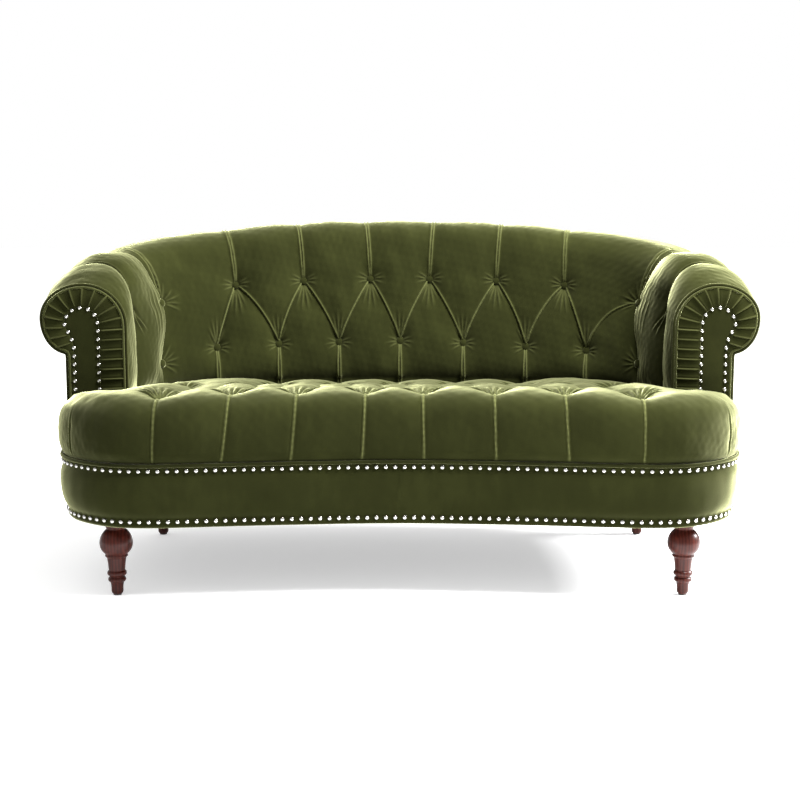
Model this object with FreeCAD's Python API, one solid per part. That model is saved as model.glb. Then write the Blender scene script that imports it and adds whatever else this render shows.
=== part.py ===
import FreeCAD, Part
import math
import os

V = FreeCAD.Vector
os.makedirs("parts", exist_ok=True)

# Chesterfield loveseat. Millimetres, +Z up, front towards -Y, origin on the
# floor under the middle of the bounding box.

# ---------------------------------------------------------------- dimensions
BASE_BOTTOM = 168.0        # underside of the padded base band
BAND_TOP = 305.0           # top edge of the base band
WELT_Z = 309.2             # centre of the piping between band and seat
WELT_R = 3.8
RAIL_Z0, RAIL_Z1 = 182.0, 290.0
RAIL_OUT, RAIL_IN = -18.0, -46.0     # base rail faces, measured from the nail line
BAND_IN = -16.0            # inside face of the base band
SEAT_Z0 = 314.0            # underside of the seat pad
SEAT_TOP = 464.0           # height of the seat pad at its front crown
SEAT_FALL = 0.08           # the seat top falls towards the back
SEAT_CROWN_Y = -260.0
COVER_T = 2.6              # velvet cover with its wadding
GAP = 1.2                  # wadding between cover and foam
FOAM_T = 44.0              # foam on inside back, arms and roll
PANEL_T = 5.0              # outside back and outside arm panels
ARM_FRONT_Y = -124.0       # plane of the arm facings
FACING_BACK_Y = -113.0     # back face of the facing trim
SEAM_U = 5.6               # station of the seam between arm and back covers
ARM_END_U = 7.80           # station where arm cover and foam stop behind the facing
PANEL_END_U = 7.88         # station where the outside arm panel stops
RECLINE_Z = 440.0          # inside back is upright below, reclined above
NAIL_R = 4.75              # 9.5 mm domed upholstery nail
NAIL_H = 3.3
NAIL_PITCH = 20.8
LOWER_NAIL_Z, UPPER_NAIL_Z = 183.0, 297.5
BUTTON_R, BUTTON_H = 11.0, 8.0
BUTTON_LIFT = 0.4          # the button's back clears the pad face
FRONT_FOOT = (637.0, -321.5)
REAR_FOOT = (628.0, 270.0)
FOOT_TOP = 181.7
BOLT_R = 4.0
SPRING_R = 1.9
SPRING_Z = 296.0
SPRING_X = (-500.0, -372.0, -190.0, -65.0, 65.0, 190.0, 372.0, 500.0)

# Nail line of the base band, right half, from the middle of the front to the
# middle of the back.
BASE_PTS = [(0, -345), (97, -348), (195, -356), (311, -367), (431, -382),
            (515, -392), (565, -394), (615, -388), (658, -371), (700, -341),
            (735, -302), (757, -256), (766, -205), (769, -124), (768, -22),
            (762, 100), (738, 243), (652, 341), (502, 373), (336, 387),
            (166, 392.5), (0, 394)]

# Stations round the inside, 0 at the middle of the back, 8 at the arm front:
# inside line, outside line, top height, inner and outer roll sizes, recline.
STATIONS = [
    # ix   iy    ox   oy    zt   ai  bi  over bo  bc  k
    (0,   228,   0,  399,  821,  55, 55, 10, 52, 60, 0.194),
    (160, 225, 166,  397,  819,  57, 56, 11, 53, 61, 0.190),
    (315, 212, 336,  391,  811,  61, 60, 13, 56, 63, 0.185),
    (455, 184, 502,  378,  797,  68, 66, 17, 60, 66, 0.175),
    (558, 134, 655,  345,  781,  76, 74, 24, 66, 69, 0.150),
    (610,  68, 745,  245,  766,  85, 82, 34, 71, 72, 0.110),
    (631,  -2, 770,  100,  752,  92, 88, 46, 75, 75, 0.060),
    (640, -62, 776,  -22,  731,  95, 92, 55, 77, 77, 0.020),
    (642, -124, 778, -124, 684,  97, 94, 58, 78, 78, 0.0),
]

# Buttons of the inside back and arms: station and height.
BACK_BUTTONS_UP = [(0.47, 677), (1.54, 674), (2.68, 664), (4.4, 624)]
BACK_BUTTONS_LO = {1: [(0.0, 519), (1.02, 514), (2.04, 505), (3.13, 499), (4.65, 474)],
                   -1: [(0.98, 516), (1.97, 511), (3.05, 506), (4.65, 474)]}
ARM_BUTTONS = [(5.9, 629), (5.95, 474)]
# Buttons of the seat: x, y. The right half sits a little closer to the middle.
SEAT_BUTTONS = [(52, -262), (212, -272), (367, -284), (536, -300),
                (-12, -132), (132, -132), (290, -134), (452, -140),
                (58, 0), (214, 0), (370, -4), (520, -14),
                (-8, 120), (140, 120), (296, 108),
                (-77, -262), (-229, -272), (-376, -284), (-534, -300),
                (-152, -132), (-302, -134), (-452, -140),
                (-77, 0), (-226, 0), (-376, -4), (-520, -14),
                (-152, 120), (-302, 108)]


# ---------------------------------------------------------------- helpers
def spline(ts, vs):
    """Natural cubic spline through (ts, vs)."""
    n = len(ts)
    h = [ts[i + 1] - ts[i] for i in range(n - 1)]
    a = [0.0] * n
    b = [1.0] * n
    c = [0.0] * n
    d = [0.0] * n
    for i in range(1, n - 1):
        a[i] = h[i - 1]
        b[i] = 2 * (h[i - 1] + h[i])
        c[i] = h[i]
        d[i] = 6 * ((vs[i + 1] - vs[i]) / h[i] - (vs[i] - vs[i - 1]) / h[i - 1])
    for i in range(1, n):
        w = a[i] / b[i - 1]
        b[i] -= w * c[i - 1]
        d[i] -= w * d[i - 1]
    m = [0.0] * n
    m[-1] = d[-1] / b[-1]
    for i in range(n - 2, -1, -1):
        m[i] = (d[i] - c[i] * m[i + 1]) / b[i]

    def f(t):
        i = 0
        while i < n - 2 and t > ts[i + 1]:
            i += 1
        x0, x1 = ts[i], ts[i + 1]
        A = (x1 - t) / h[i]
        B = (t - x0) / h[i]
        return (A * vs[i] + B * vs[i + 1]
                + ((A ** 3 - A) * m[i] + (B ** 3 - B) * m[i + 1]) * h[i] ** 2 / 6)
    return f


def smooth(a, b, x):
    t = min(1.0, max(0.0, (x - a) / (b - a)))
    return t * t * (3 - 2 * t)


def closed_curve(pts):
    c = Part.BSplineCurve()
    c.interpolate(Points=pts, PeriodicFlag=True)
    return c


def open_curve(pts):
    c = Part.BSplineCurve()
    c.interpolate(Points=pts)
    return c


def face_of(curve):
    return Part.Face(Part.Wire([curve.toShape()]))


def prism(face, dz):
    return face.extrude(V(0, 0, dz))


def polygon_prism(pts, vec):
    return Part.Face(Part.makePolygon(pts + [pts[0]])).extrude(vec)


def slab(A, B):
    """Solid between two point grids of the same size, lofted through closed
    sections of four edges."""
    wires = []
    for ra, rb in zip(A, B):
        wires.append(Part.Wire([open_curve(ra).toShape(), Part.makeLine(ra[-1], rb[-1]),
                                open_curve(list(reversed(rb))).toShape(), Part.makeLine(rb[0], ra[0])]))
    solid = Part.makeLoft(wires, True, False)
    if solid.Volume < 0:
        solid.reverse()
    return solid


def tube(pts, r, axis):
    """Round cord along a planar path whose plane is normal to axis."""
    wires = []
    n = len(pts)
    for i in range(n):
        t = pts[min(n - 1, i + 1)] - pts[max(0, i - 1)]
        t.normalize()
        e2 = t.cross(axis)
        rim = []
        for j in range(10):
            a = 2 * math.pi * j / 10
            rim.append(pts[i] + axis * (r * math.cos(a)) + e2 * (r * math.sin(a)))
        wires.append(Part.Wire([closed_curve(rim).toShape()]))
    solid = Part.makeLoft(wires, True, False)
    if solid.Volume < 0:
        solid.reverse()
    return solid


def mirror(shape):
    return shape.mirror(V(0, 0, 0), V(1, 0, 0))


def export(name, shape):
    shape.exportStep("parts/" + name + ".step")


def group(shapes):
    return Part.Compound(shapes)


# ---------------------------------------------------------------- plan curves
half = [V(x, y, 0) for x, y in BASE_PTS]
loop = half + [V(-p.x, p.y, 0) for p in reversed(half[1:-1])]
BASE = closed_curve(loop).discretize(Number=193)[:-1]


def normals(pts):
    n = len(pts)
    out = []
    for i in range(n):
        t = pts[(i + 1) % n] - pts[i - 1]
        t.normalize()
        out.append(V(t.y, -t.x, 0))
    return out


BASE_N = normals(BASE)


def offset_base(off, z):
    return [V(p.x + n.x * off, p.y + n.y * off, z) for p, n in zip(BASE, BASE_N)]


# height and swell of the band; flat where the nail rows pull it in
BAND_PROFILE = [(BASE_BOTTOM, -5.0), (172, -0.8), (176.5, 0.5), (189.5, 0.5), (197, 4.6), (214, 11.2),
                (240, 14.6), (266, 14.6), (283, 11.6), (291, 9.0), (BAND_TOP, 9.0)]
band_f = spline([z for z, o in BAND_PROFILE], [o for z, o in BAND_PROFILE])


def band_scale(p):
    """The band swells less in the hollow middle of the front."""
    if p.y > -300:
        return 1.0
    return 0.45 + 0.55 * smooth(60, 430, abs(p.x))


def band_outline(z, extra=0.0):
    o = band_f(z)
    out = []
    for p, n in zip(BASE, BASE_N):
        d = (o * band_scale(p) if o > 0 else o) + extra
        out.append(V(p.x + n.x * d, p.y + n.y * d, z))
    return out


S_T = [float(i) for i in range(-8, 9)]


def column(j, odd):
    right = [s[j] for s in STATIONS]
    left = [(-v if odd else v) for v in reversed(right[1:])]
    return spline(S_T, left + right)


IX, IY, OX, OY = column(0, True), column(1, False), column(2, True), column(3, False)
ZT, AI, BI, OVER, BO, BC, KR = [column(j, False) for j in range(4, 11)]


def frame_at(u):
    i = V(IX(u), IY(u), 0)
    o = V(OX(u), OY(u), 0)
    d = o - i
    T = d.Length
    d.normalize()
    return i, d, T


N_LINE, N_ARC = 5, 4


def face_profile(u, z_low):
    """Section of the padded face at station u: (n, z), from the inside bottom
    edge over the roll to the hem under it."""
    i, d, T = frame_at(u)
    zt, ai, bi, over, bo, bc, k = ZT(u), AI(u), BI(u), OVER(u), BO(u), BC(u), KR(u)
    z1 = zt - bi
    nt = ai + k * (z1 - RECLINE_Z)
    no = T + over
    ao = no - nt
    ac = over + 1.0
    pts = []
    for j in range(N_LINE):
        z = z_low + (z1 - z_low) * j / N_LINE
        pts.append((k * max(0.0, z - RECLINE_Z), z))
    for j in range(N_ARC):
        a = math.pi / 2 * j / N_ARC
        pts.append((nt - ai * math.cos(a), z1 + bi * math.sin(a)))
    for j in range(N_ARC):
        a = math.pi / 2 * j / N_ARC
        pts.append((nt + ao * math.sin(a), zt - bo + bo * math.cos(a)))
    n_outer = len(pts)
    for j in range(N_ARC + 1):
        a = math.pi / 2 * j / N_ARC
        pts.append((no - ac + ac * math.cos(a), zt - bo - bc * math.sin(a)))
    pts.append((T - 11.0, zt - bo - bc))
    return pts, n_outer


def offset_profile(pts, dist):
    """Move a section inward by dist."""
    out = []
    n = len(pts)
    for i in range(n):
        a = pts[max(0, i - 1)]
        b = pts[min(n - 1, i + 1)]
        tx, tz = b[0] - a[0], b[1] - a[1]
        L = math.hypot(tx, tz)
        out.append((pts[i][0] + tz / L * dist, pts[i][1] - tx / L * dist))
    return out


def place(u, prof):
    i, d, T = frame_at(u)
    return [V(i.x + d.x * n, i.y + d.y * n, z) for n, z in prof]


def padded(u0, u1, count, d0, d1, z_low, to_outer):
    A, B = [], []
    for j in range(count):
        u = u0 + (u1 - u0) * j / (count - 1)
        prof, n_outer = face_profile(u, z_low)
        a = offset_profile(prof, d0)
        b = offset_profile(prof, d1)
        if to_outer:
            a, b = a[:n_outer + 1], b[:n_outer + 1]
        A.append(place(u, a))
        B.append(place(u, b))
    return slab(A, B)


def hem_z(u):
    return ZT(u) - BO(u) - BC(u)


def outside_panel(u0, u1, count, rows=6):
    A, B = [], []
    for j in range(count):
        u = u0 + (u1 - u0) * j / (count - 1)
        i, d, T = frame_at(u)
        z1 = hem_z(u) - 3.0
        ra, rb = [], []
        for r in range(rows):
            z = SEAT_Z0 + 0.5 + (z1 - SEAT_Z0 - 0.5) * r / (rows - 1)
            ra.append(V(i.x + d.x * T, i.y + d.y * T, z))
            rb.append(V(i.x + d.x * (T - PANEL_T), i.y + d.y * (T - PANEL_T), z))
        A.append(ra)
        B.append(rb)
    return slab(A, B)


def face_point(u, z):
    """Point and outward (towards the sitter) direction on the inside face."""
    i, d, T = frame_at(u)
    k = KR(u)
    n = k * max(0.0, z - RECLINE_Z)
    p = V(i.x + d.x * n, i.y + d.y * n, z)
    q = V(-d.x, -d.y, k)
    q.normalize()
    return p, q


# ---------------------------------------------------------------- buttons
def button_at(p, q):
    """Covered button: short cylinder with a domed face."""
    seat = p + q * BUTTON_LIFT
    base = Part.makeCylinder(BUTTON_R, 3.0, seat, q)
    dome = Part.makeSphere(16.0, seat + q * (BUTTON_H - 16.0))
    cap = dome.common(Part.makeCylinder(BUTTON_R, BUTTON_H, seat + q * 3.0, q))
    return base.fuse(cap).removeSplitter()


back_buttons, arm_buttons, seat_buttons = [], [], []
for sg in (1, -1):
    for u, z in BACK_BUTTONS_UP + BACK_BUTTONS_LO[sg]:
        back_buttons.append(button_at(*face_point(sg * u, z)))
for u, z in ARM_BUTTONS:
    for sg in (1, -1):
        arm_buttons.append(button_at(*face_point(sg * u, z)))
for x, y in SEAT_BUTTONS:
    top = V(x, y, SEAT_TOP - SEAT_FALL * (y - SEAT_CROWN_Y) + 0.6)
    seat_buttons.append(button_at(top, V(0, 0, 1)))
export("buttons_inside_back", group(back_buttons))
export("buttons_arms", group(arm_buttons))
export("buttons_seat", group(seat_buttons))

# ---------------------------------------------------------------- back and arms
Z_LOW = SEAT_Z0 + 2.0
back_cover = padded(-SEAM_U, SEAM_U, 25, 0.0, COVER_T, Z_LOW, False)
back_foam = padded(-SEAM_U, SEAM_U, 25, COVER_T + GAP, COVER_T + GAP + FOAM_T, Z_LOW, True)
export("inside_back_cover", back_cover)
export("inside_back_foam", back_foam)
for side, sg in (("right", 1), ("left", -1)):
    u0, u1 = sg * (SEAM_U + 0.006), sg * ARM_END_U
    cover = padded(u0, u1, 9, 0.0, COVER_T, Z_LOW, False)
    foam = padded(u0, u1, 9, COVER_T + GAP, COVER_T + GAP + FOAM_T, Z_LOW, True)
    export("inside_arm_cover_" + side, cover)
    export("inside_arm_foam_" + side, foam)
    export("outside_arm_cover_" + side, outside_panel(sg * (SEAM_U + 0.006), sg * PANEL_END_U, 9))
export("outside_back_cover", outside_panel(-SEAM_U, SEAM_U, 25))

# ---------------------------------------------------------------- arm facings
def facing_outline(inset):
    """Contour of the arm front (X, Z) from the inside bottom round the scroll to
    the outside bottom, moved inward by inset."""
    prof, n_outer = face_profile(8.0, Z_LOW)
    prof = offset_profile(prof[:-1], inset)
    pts = [(642.0 + n, z) for n, z in prof]
    x_out = 778.0 - inset
    keep = []
    for j, (x, z) in enumerate(pts):
        if j > n_outer and x < x_out:
            break
        keep.append((x, z))
    keep.append((x_out, keep[-1][1] - 1.0))
    keep.append((x_out, (keep[-1][1] + Z_LOW) / 2))
    keep.append((x_out, Z_LOW))
    return keep


def nail_line(off):
    """Arch of the facing nails (X, Z), widened by off."""
    pts = [(705 - off, Z_LOW)]
    for j in range(1, 7):
        pts.append((705 - off, Z_LOW + (585 - Z_LOW) * j / 6.0))
    for j in range(1, 15):
        a = math.pi - math.pi * j / 15.0 * 1.08
        pts.append((744 + (39 + off) * math.cos(a), 592 + (40 + off) * math.sin(a)))
    pts += [(769 + off, 563), (763 + off, 546), (762 + off, 528)]
    for j in range(1, 6):
        pts.append((762 + off, 528 + (Z_LOW - 528) * j / 5.0))
    return pts


def contour_prism(pts, y0, y1):
    poly = [V(x, y0, z) for x, z in pts]
    return polygon_prism(poly, V(0, y1 - y0, 0))


def walk(pts, pitch, start=0.0, end=0.0):
    """Points at equal steps along a polyline, with unit tangents."""
    seg = [0.0]
    for a, b in zip(pts, pts[1:]):
        seg.append(seg[-1] + (b - a).Length)
    total = seg[-1] - start - end
    count = max(1, int(round(total / pitch)))
    out = []
    for j in range(count + 1):
        s = start + total * j / count
        i = 0
        while i < len(seg) - 2 and s > seg[i + 1]:
            i += 1
        t = (s - seg[i]) / (seg[i + 1] - seg[i])
        d = pts[i + 1] - pts[i]
        p = pts[i] + d * t
        d.normalize()
        out.append((p, d))
    return out


def nail(p, q):
    """Domed nail head at p, facing q."""
    rad = (NAIL_R ** 2 + NAIL_H ** 2) / (2 * NAIL_H)
    ball = Part.makeSphere(rad, V(0, 0, NAIL_H - rad))
    solid = ball.common(Part.makeCylinder(NAIL_R + 1.0, NAIL_H + 1.0))
    solid.Placement = FreeCAD.Placement(p, FreeCAD.Rotation(V(0, 0, 1), q))
    return solid.Solids[0]


outer = facing_outline(0.6)
arch = nail_line(5.0)
arch_gap = nail_line(5.4)
# flat centre panel, its edge just outside the nail arch
panel = contour_prism(arch, ARM_FRONT_Y + 1.5, FACING_BACK_Y)
# ruched border round the arch
border = contour_prism(outer, ARM_FRONT_Y, FACING_BACK_Y)
border = border.cut(contour_prism([(arch_gap[0][0], Z_LOW - 5)] + arch_gap + [(arch_gap[-1][0], Z_LOW - 5)],
                                  ARM_FRONT_Y - 5, FACING_BACK_Y + 5))
arm_nails = []
arch_pts = [V(x, ARM_FRONT_Y + 1.5 - 0.2, z) for x, z in nail_line(0.0)]
for p, d in walk(arch_pts, 19.4, 26.0, 26.0):
    q = V(0, -1, 0)
    arm_nails.append(nail(p, q))
# welt along the outer contour
weltp = facing_outline(-1.6)
wpts = [V(x, ARM_FRONT_Y + 2.0, z) for x, z in weltp]
wpts = [p for p, d in walk(wpts, 10.0)]
for _ in range(5):
    wpts = ([wpts[0]] + [a * 0.25 + b * 0.5 + c * 0.25 for a, b, c in zip(wpts, wpts[1:], wpts[2:])]
            + [wpts[-1]])
wpts = [p for p, d in walk(wpts, 16.0)]
arm_welt = tube(wpts, WELT_R, V(0, 1, 0))
cutter = contour_prism(facing_outline(0.2), ARM_FRONT_Y - 20, FACING_BACK_Y - 0.0)
arm_welt = arm_welt.cut(cutter)
arm_welt = arm_welt.cut(Part.makeBox(400, 20, 600, V(600, ARM_FRONT_Y + 8.6, 300)))
if len(arm_welt.Solids) > 1:
    arm_welt = max(arm_welt.Solids, key=lambda s: s.Volume)
for side in ("right", "left"):
    m = (lambda s: s) if side == "right" else mirror
    export("arm_facing_panel_" + side, m(panel))
    export("arm_facing_border_" + side, m(border))
    export("arm_facing_welt_" + side, m(arm_welt))
    export("arm_nailheads_" + side, group([m(n) for n in arm_nails]))

# ---------------------------------------------------------------- base band
sections = [Part.Wire([closed_curve(band_outline(z)[::3]).toShape()]) for z, o in BAND_PROFILE]
band_full = Part.makeLoft(sections, True, False)
inner_cut = prism(face_of(closed_curve(offset_base(BAND_IN, 150.0))), 180.0)
band = band_full.cut(inner_cut)


def arc_points(outline, start_xy, end_xy):
    """Part of a closed outline from start to end, counterclockwise."""
    def near(xy):
        return min(range(len(outline)), key=lambda i: (outline[i].x - xy[0]) ** 2 + (outline[i].y - xy[1]) ** 2)
    i0, i1 = near(start_xy), near(end_xy)
    out = []
    i = i0
    while True:
        out.append(outline[i])
        if i == i1:
            break
        i = (i + 1) % len(outline)
    return out


base_nails = []
for z in (LOWER_NAIL_Z, UPPER_NAIL_Z):
    line = arc_points(band_outline(z, 0.8), (-738, 243), (738, 243))
    for p, d in walk(line, NAIL_PITCH):
        q = V(d.y, -d.x, 0)
        base_nails.append(nail(p, q))
export("base_band", band)
export("base_nailheads", group(base_nails))

# piping that closes the joint between band and seat
wl = band_outline(BAND_TOP, 1.5)
wl = [V(p.x, p.y, WELT_Z) for p in wl]
wc = closed_curve(wl)
wt = wc.tangent(wc.FirstParameter)[0]
seat_welt = Part.Wire([wc.toShape()]).makePipeShell(
    [Part.Wire([Part.makeCircle(WELT_R, wc.value(wc.FirstParameter), wt)])], True, False)
export("seat_welt", seat_welt)

# ---------------------------------------------------------------- seat pad
def chaikin(pts, rounds):
    for _ in range(rounds):
        out = []
        n = len(pts)
        for i in range(n):
            a, b = pts[i], pts[(i + 1) % n]
            out.append(a * 0.75 + b * 0.25)
            out.append(a * 0.25 + b * 0.75)
        pts = out
    return pts


def resample(pts, count):
    ring = pts + [pts[0]]
    seg = [0.0]
    for a, b in zip(ring, ring[1:]):
        seg.append(seg[-1] + (b - a).Length)
    out = []
    i = 0
    for j in range(count):
        s = seg[-1] * j / count
        while s > seg[i + 1]:
            i += 1
        t = (s - seg[i]) / (seg[i + 1] - seg[i])
        out.append(ring[i] * (1 - t) + ring[i + 1] * t)
    return out


right_half = [p for p in BASE if p.x >= 0 and p.y < -190]
right_half.sort(key=lambda p: math.atan2(p.x, -p.y))
right_half = right_half[::3]
notch = [V(767.5, -180, 0), V(768.5, -160, 0), V(766, -139, 0), V(745, -133.5, 0), V(715, -133.5, 0),
         V(685, -133.5, 0), V(660, -133.5, 0), V(633, -133.5, 0), V(632, -108, 0)]
inside = []
for j in range(20, -1, -1):
    u = 7.4 * j / 20.0
    i, d, T = frame_at(u)
    back = 2.6 + 4.4 * smooth(5.6, 7.2, u)
    inside.append(V(i.x - d.x * back, i.y - d.y * back, 0))
rh = right_half + notch + inside
ring = rh + [V(-p.x, p.y, 0) for p in reversed(rh) if p.x > 1.0]
ring = [p for i, p in enumerate(ring) if (p - ring[i - 1]).Length > 1.0]
SEAT = resample(chaikin(ring, 2), 160)
SEAT_N = normals(SEAT)
SEAT_PROFILE = [(SEAT_Z0, 7.0), (332, 12.0), (365, 13.5), (400, 10.5), (430, 0.0), (449, -20.0),
                (460, -48.0), (SEAT_TOP, -85.0)]


def seat_outline(z, off, extra):
    out = []
    for p, n in zip(SEAT, SEAT_N):
        w = 1.0 - smooth(-178, -140, p.y)
        front = off * band_scale(p) if off > 0 else off
        rear = 0.12 * min(0.0, off)
        d = front * w + rear * (1 - w) - extra
        y = p.y + n.y * d
        fall = SEAT_FALL * (y - SEAT_CROWN_Y) * (z - SEAT_Z0) / (SEAT_TOP - SEAT_Z0)
        out.append(V(p.x + n.x * d, y, z - fall))
    return out


def seat_wires(extra, top_drop):
    wires = []
    for j, (z, off) in enumerate(SEAT_PROFILE):
        zz = z - top_drop * smooth(0.0, 4.0, j)
        wires.append(Part.Wire([closed_curve(seat_outline(zz, off, extra)).toShape()]))
    return wires


out_w = seat_wires(0.0, 0.0)
in_w = seat_wires(COVER_T, COVER_T)
out_side = Part.makeLoft(out_w, False, False)
in_side = Part.makeLoft(in_w, False, False)
bottom = Part.Face(out_w[0]).cut(Part.Face(in_w[0]))
faces = out_side.Faces + in_side.Faces + [Part.Face(out_w[-1]), Part.Face(in_w[-1]), bottom.Faces[0]]
shell = Part.makeShell(faces)
shell.sewShape(0.05)
seat_cover = Part.Solid(shell)
if seat_cover.Volume < 0:
    seat_cover.reverse()
seat_foam = Part.makeLoft(seat_wires(COVER_T + GAP, COVER_T + GAP), True, False)
export("seat_cover", seat_cover)
export("seat_foam", seat_foam)

# ---------------------------------------------------------------- base frame
def rail(start_xy, end_xy, z0, z1):
    a = arc_points(offset_base(RAIL_OUT, z0), start_xy, end_xy)
    b = arc_points(offset_base(RAIL_IN, z0), start_xy, end_xy)
    n = min(len(a), len(b))
    ca, cb = open_curve(a).toShape(), open_curve(b).toShape()
    e1 = Part.makeLine(a[0], b[0])
    e2 = Part.makeLine(a[-1], b[-1])
    return Part.Face(Part.Wire(Part.__sortEdges__([ca, e2, cb, e1]))).extrude(V(0, 0, z1 - z0))


ring_out = prism(face_of(closed_curve(offset_base(RAIL_OUT, RAIL_Z0))), RAIL_Z1 - RAIL_Z0)
ring_in = prism(face_of(closed_curve(offset_base(RAIL_IN, RAIL_Z0 - 5))), RAIL_Z1 - RAIL_Z0 + 10)
ring_frame = ring_out.cut(ring_in)
Y_FRONT_JOINT, Y_REAR_JOINT = -185.0, 140.0
big = 2000.0
front_rail = ring_frame.common(Part.makeBox(big, big, big, V(-big / 2, Y_FRONT_JOINT - big, -500)))
back_rail = ring_frame.common(Part.makeBox(big, big, big, V(-big / 2, Y_REAR_JOINT, -500)))
side_box = Part.makeBox(big / 2, Y_REAR_JOINT - Y_FRONT_JOINT - 0.4, big, V(0, Y_FRONT_JOINT + 0.2, -500))
side_rail = ring_frame.common(side_box)
inner_room = prism(face_of(closed_curve(offset_base(RAIL_IN - 0.3, RAIL_Z0 - 1))), 200.0)
stretcher = Part.makeBox(26, 900, 78, V(237, -450, RAIL_Z0)).common(inner_room)

blocks, screws, screw_holes, block_bores = [], [], [], []
feet_xy = []
for name, (fx, fy) in (("front", FRONT_FOOT), ("rear", REAR_FOOT)):
    for sg in (1, -1):
        feet_xy.append((sg * fx, fy))
for fx, fy in feet_xy:
    box = Part.makeBox(104, 104, 34, V(fx - 52, fy - 52, RAIL_Z0)).common(inner_room)
    box = box.cut(Part.makeCylinder(4.6, 60, V(fx, fy, RAIL_Z0 - 5)))
    box = box.cut(Part.makeCylinder(5.8, 20, V(fx, fy, RAIL_Z0 + 34 - 12.2)))
    # two screws through the block into the rail
    i = min(range(len(BASE)), key=lambda k: (BASE[k].x - fx) ** 2 + (BASE[k].y - fy) ** 2)
    for di in (-3, 3):
        p = BASE[(i + di) % len(BASE)]
        n = BASE_N[(i + di) % len(BASE)]
        head = V(p.x + n.x * (RAIL_IN - 34), p.y + n.y * (RAIL_IN - 34), RAIL_Z0 + 24)
        shank = Part.makeCylinder(2.2, 52, head, n)
        tip = Part.makeCone(2.2, 0.6, 5, head + n * 52, n)
        top = Part.makeCone(4.4, 2.2, 3.0, head, n)
        screws.append(shank.fuse([tip, top]).removeSplitter())
        screw_holes.append(Part.makeCylinder(2.45, 62, head - n * 1.0, n))
        screw_holes.append(Part.makeCone(4.75, 2.45, 3.2, head - n * 0.1, n))
        screw_holes.append(Part.makeCylinder(4.8, 40, head - n * 40.0, n))
    blocks.append(box)
holes = group(screw_holes)
blocks = [b.cut(holes) for b in blocks]
blocks = [max(b.Solids, key=lambda s: s.Volume) for b in blocks]
front_rail = front_rail.cut(holes)
back_rail = back_rail.cut(holes)
export("frame_front_rail", front_rail)
export("frame_back_rail", back_rail)
export("frame_side_rail_right", side_rail)
export("frame_side_rail_left", mirror(side_rail))
export("frame_stretcher_right", stretcher)
export("frame_stretcher_left", mirror(stretcher))
export("frame_corner_blocks", group(blocks))
export("frame_block_screws", group(screws))

# ---------------------------------------------------------------- upper frame
def bar(stations, n0, n1, z0, z1):
    """Rail through stations; n0, n1, z0, z1 are functions of the station."""
    wires = []
    for u in stations:
        i, d, T = frame_at(u)
        pts = []
        for n, z in ((n0(u), z0(u)), (n1(u), z0(u)), (n1(u), z1(u)), (n0(u), z1(u))):
            pts.append(V(i.x + d.x * n, i.y + d.y * n, z))
        wires.append(Part.makePolygon(pts + [pts[0]]))
    return Part.makeLoft(wires, True, False)


def frange(a, b, n):
    return [a + (b - a) * j / (n - 1) for j in range(n)]


PAD_BACK = COVER_T + GAP + FOAM_T + 1.6


def top_in(u):
    return KR(u) * (ZT(u) - 70 - RECLINE_Z) + PAD_BACK + 1.5


def top_out(u):
    _, _, T = frame_at(u)
    return min(top_in(u) + 30.0, T - PANEL_T - 3.0, T + OVER(u) - PAD_BACK - 2.0)


def z_top0(u):
    return ZT(u) - 126.0


def z_top1(u):
    return ZT(u) - 72.0


back_top = bar(frange(-4.7, 4.7, 21), top_in, top_out, z_top0, z_top1)
back_tack = bar(frange(-4.5, 4.5, 21), lambda u: 88.0, lambda u: 111.4, lambda u: 330.0, lambda u: 376.0)
export("frame_back_top_rail", back_top)
export("frame_back_tack_rail", back_tack)
post_u = 1.7


def post(u, n_mid, wide, deep, z0, z1):
    i, d, T = frame_at(u)
    c = V(i.x + d.x * n_mid, i.y + d.y * n_mid, z0)
    s = V(-d.y, d.x, 0)
    pts = [c + d * (-deep / 2) + s * (-wide / 2), c + d * (deep / 2) + s * (-wide / 2),
           c + d * (deep / 2) + s * (wide / 2), c + d * (-deep / 2) + s * (wide / 2)]
    return polygon_prism(pts, V(0, 0, z1 - z0))


back_post = post(post_u, 131.0, 60.0, 38.0, RAIL_Z1 + 0.2, ZT(post_u) - 128.0)
corner_post = post(5.0, 176.0, 42.0, 36.0, RAIL_Z1 + 0.2, ZT(5.0) - 150.0)
for side in ("right", "left"):
    m = (lambda s: s) if side == "right" else mirror
    export("frame_back_post_" + side, m(back_post))
    export("frame_corner_post_" + side, m(corner_post))

# board behind each arm facing, padded all round by the foam
prof8, n8 = face_profile(8.0, Z_LOW)
bprof = offset_profile(prof8, PAD_BACK)[:n8 + 1]
bpts = [(642.0 + n, z) for n, z in bprof]
bpts[0] = (bpts[0][0], RAIL_Z1 + 0.2)
bpts = [p for p in bpts]
x_out = 763.0
bpts.append((x_out, bpts[-1][1] - 30.0))
bpts.append((x_out, BAND_TOP + 1.0))
bpts.append((751.0, BAND_TOP + 1.0))
bpts.append((751.0, RAIL_Z1 + 0.2))
board = contour_prism(bpts, FACING_BACK_Y + 0.3, FACING_BACK_Y + 22.0)
arm_lo = FACING_BACK_Y + 22.6


def arm_bar(x0, x1, z0a, z1a, y_end, z0b, z1b, x_shift):
    w1 = Part.makePolygon([V(x0, arm_lo, z0a), V(x1, arm_lo, z0a), V(x1, arm_lo, z1a), V(x0, arm_lo, z1a), V(x0, arm_lo, z0a)])
    w2 = Part.makePolygon([V(x0 + x_shift, y_end, z0b), V(x1 + x_shift, y_end, z0b), V(x1 + x_shift, y_end, z1b),
                           V(x0 + x_shift, y_end, z1b), V(x0 + x_shift, y_end, z0b)])
    return Part.makeLoft([w1, w2], True, True)


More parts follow.
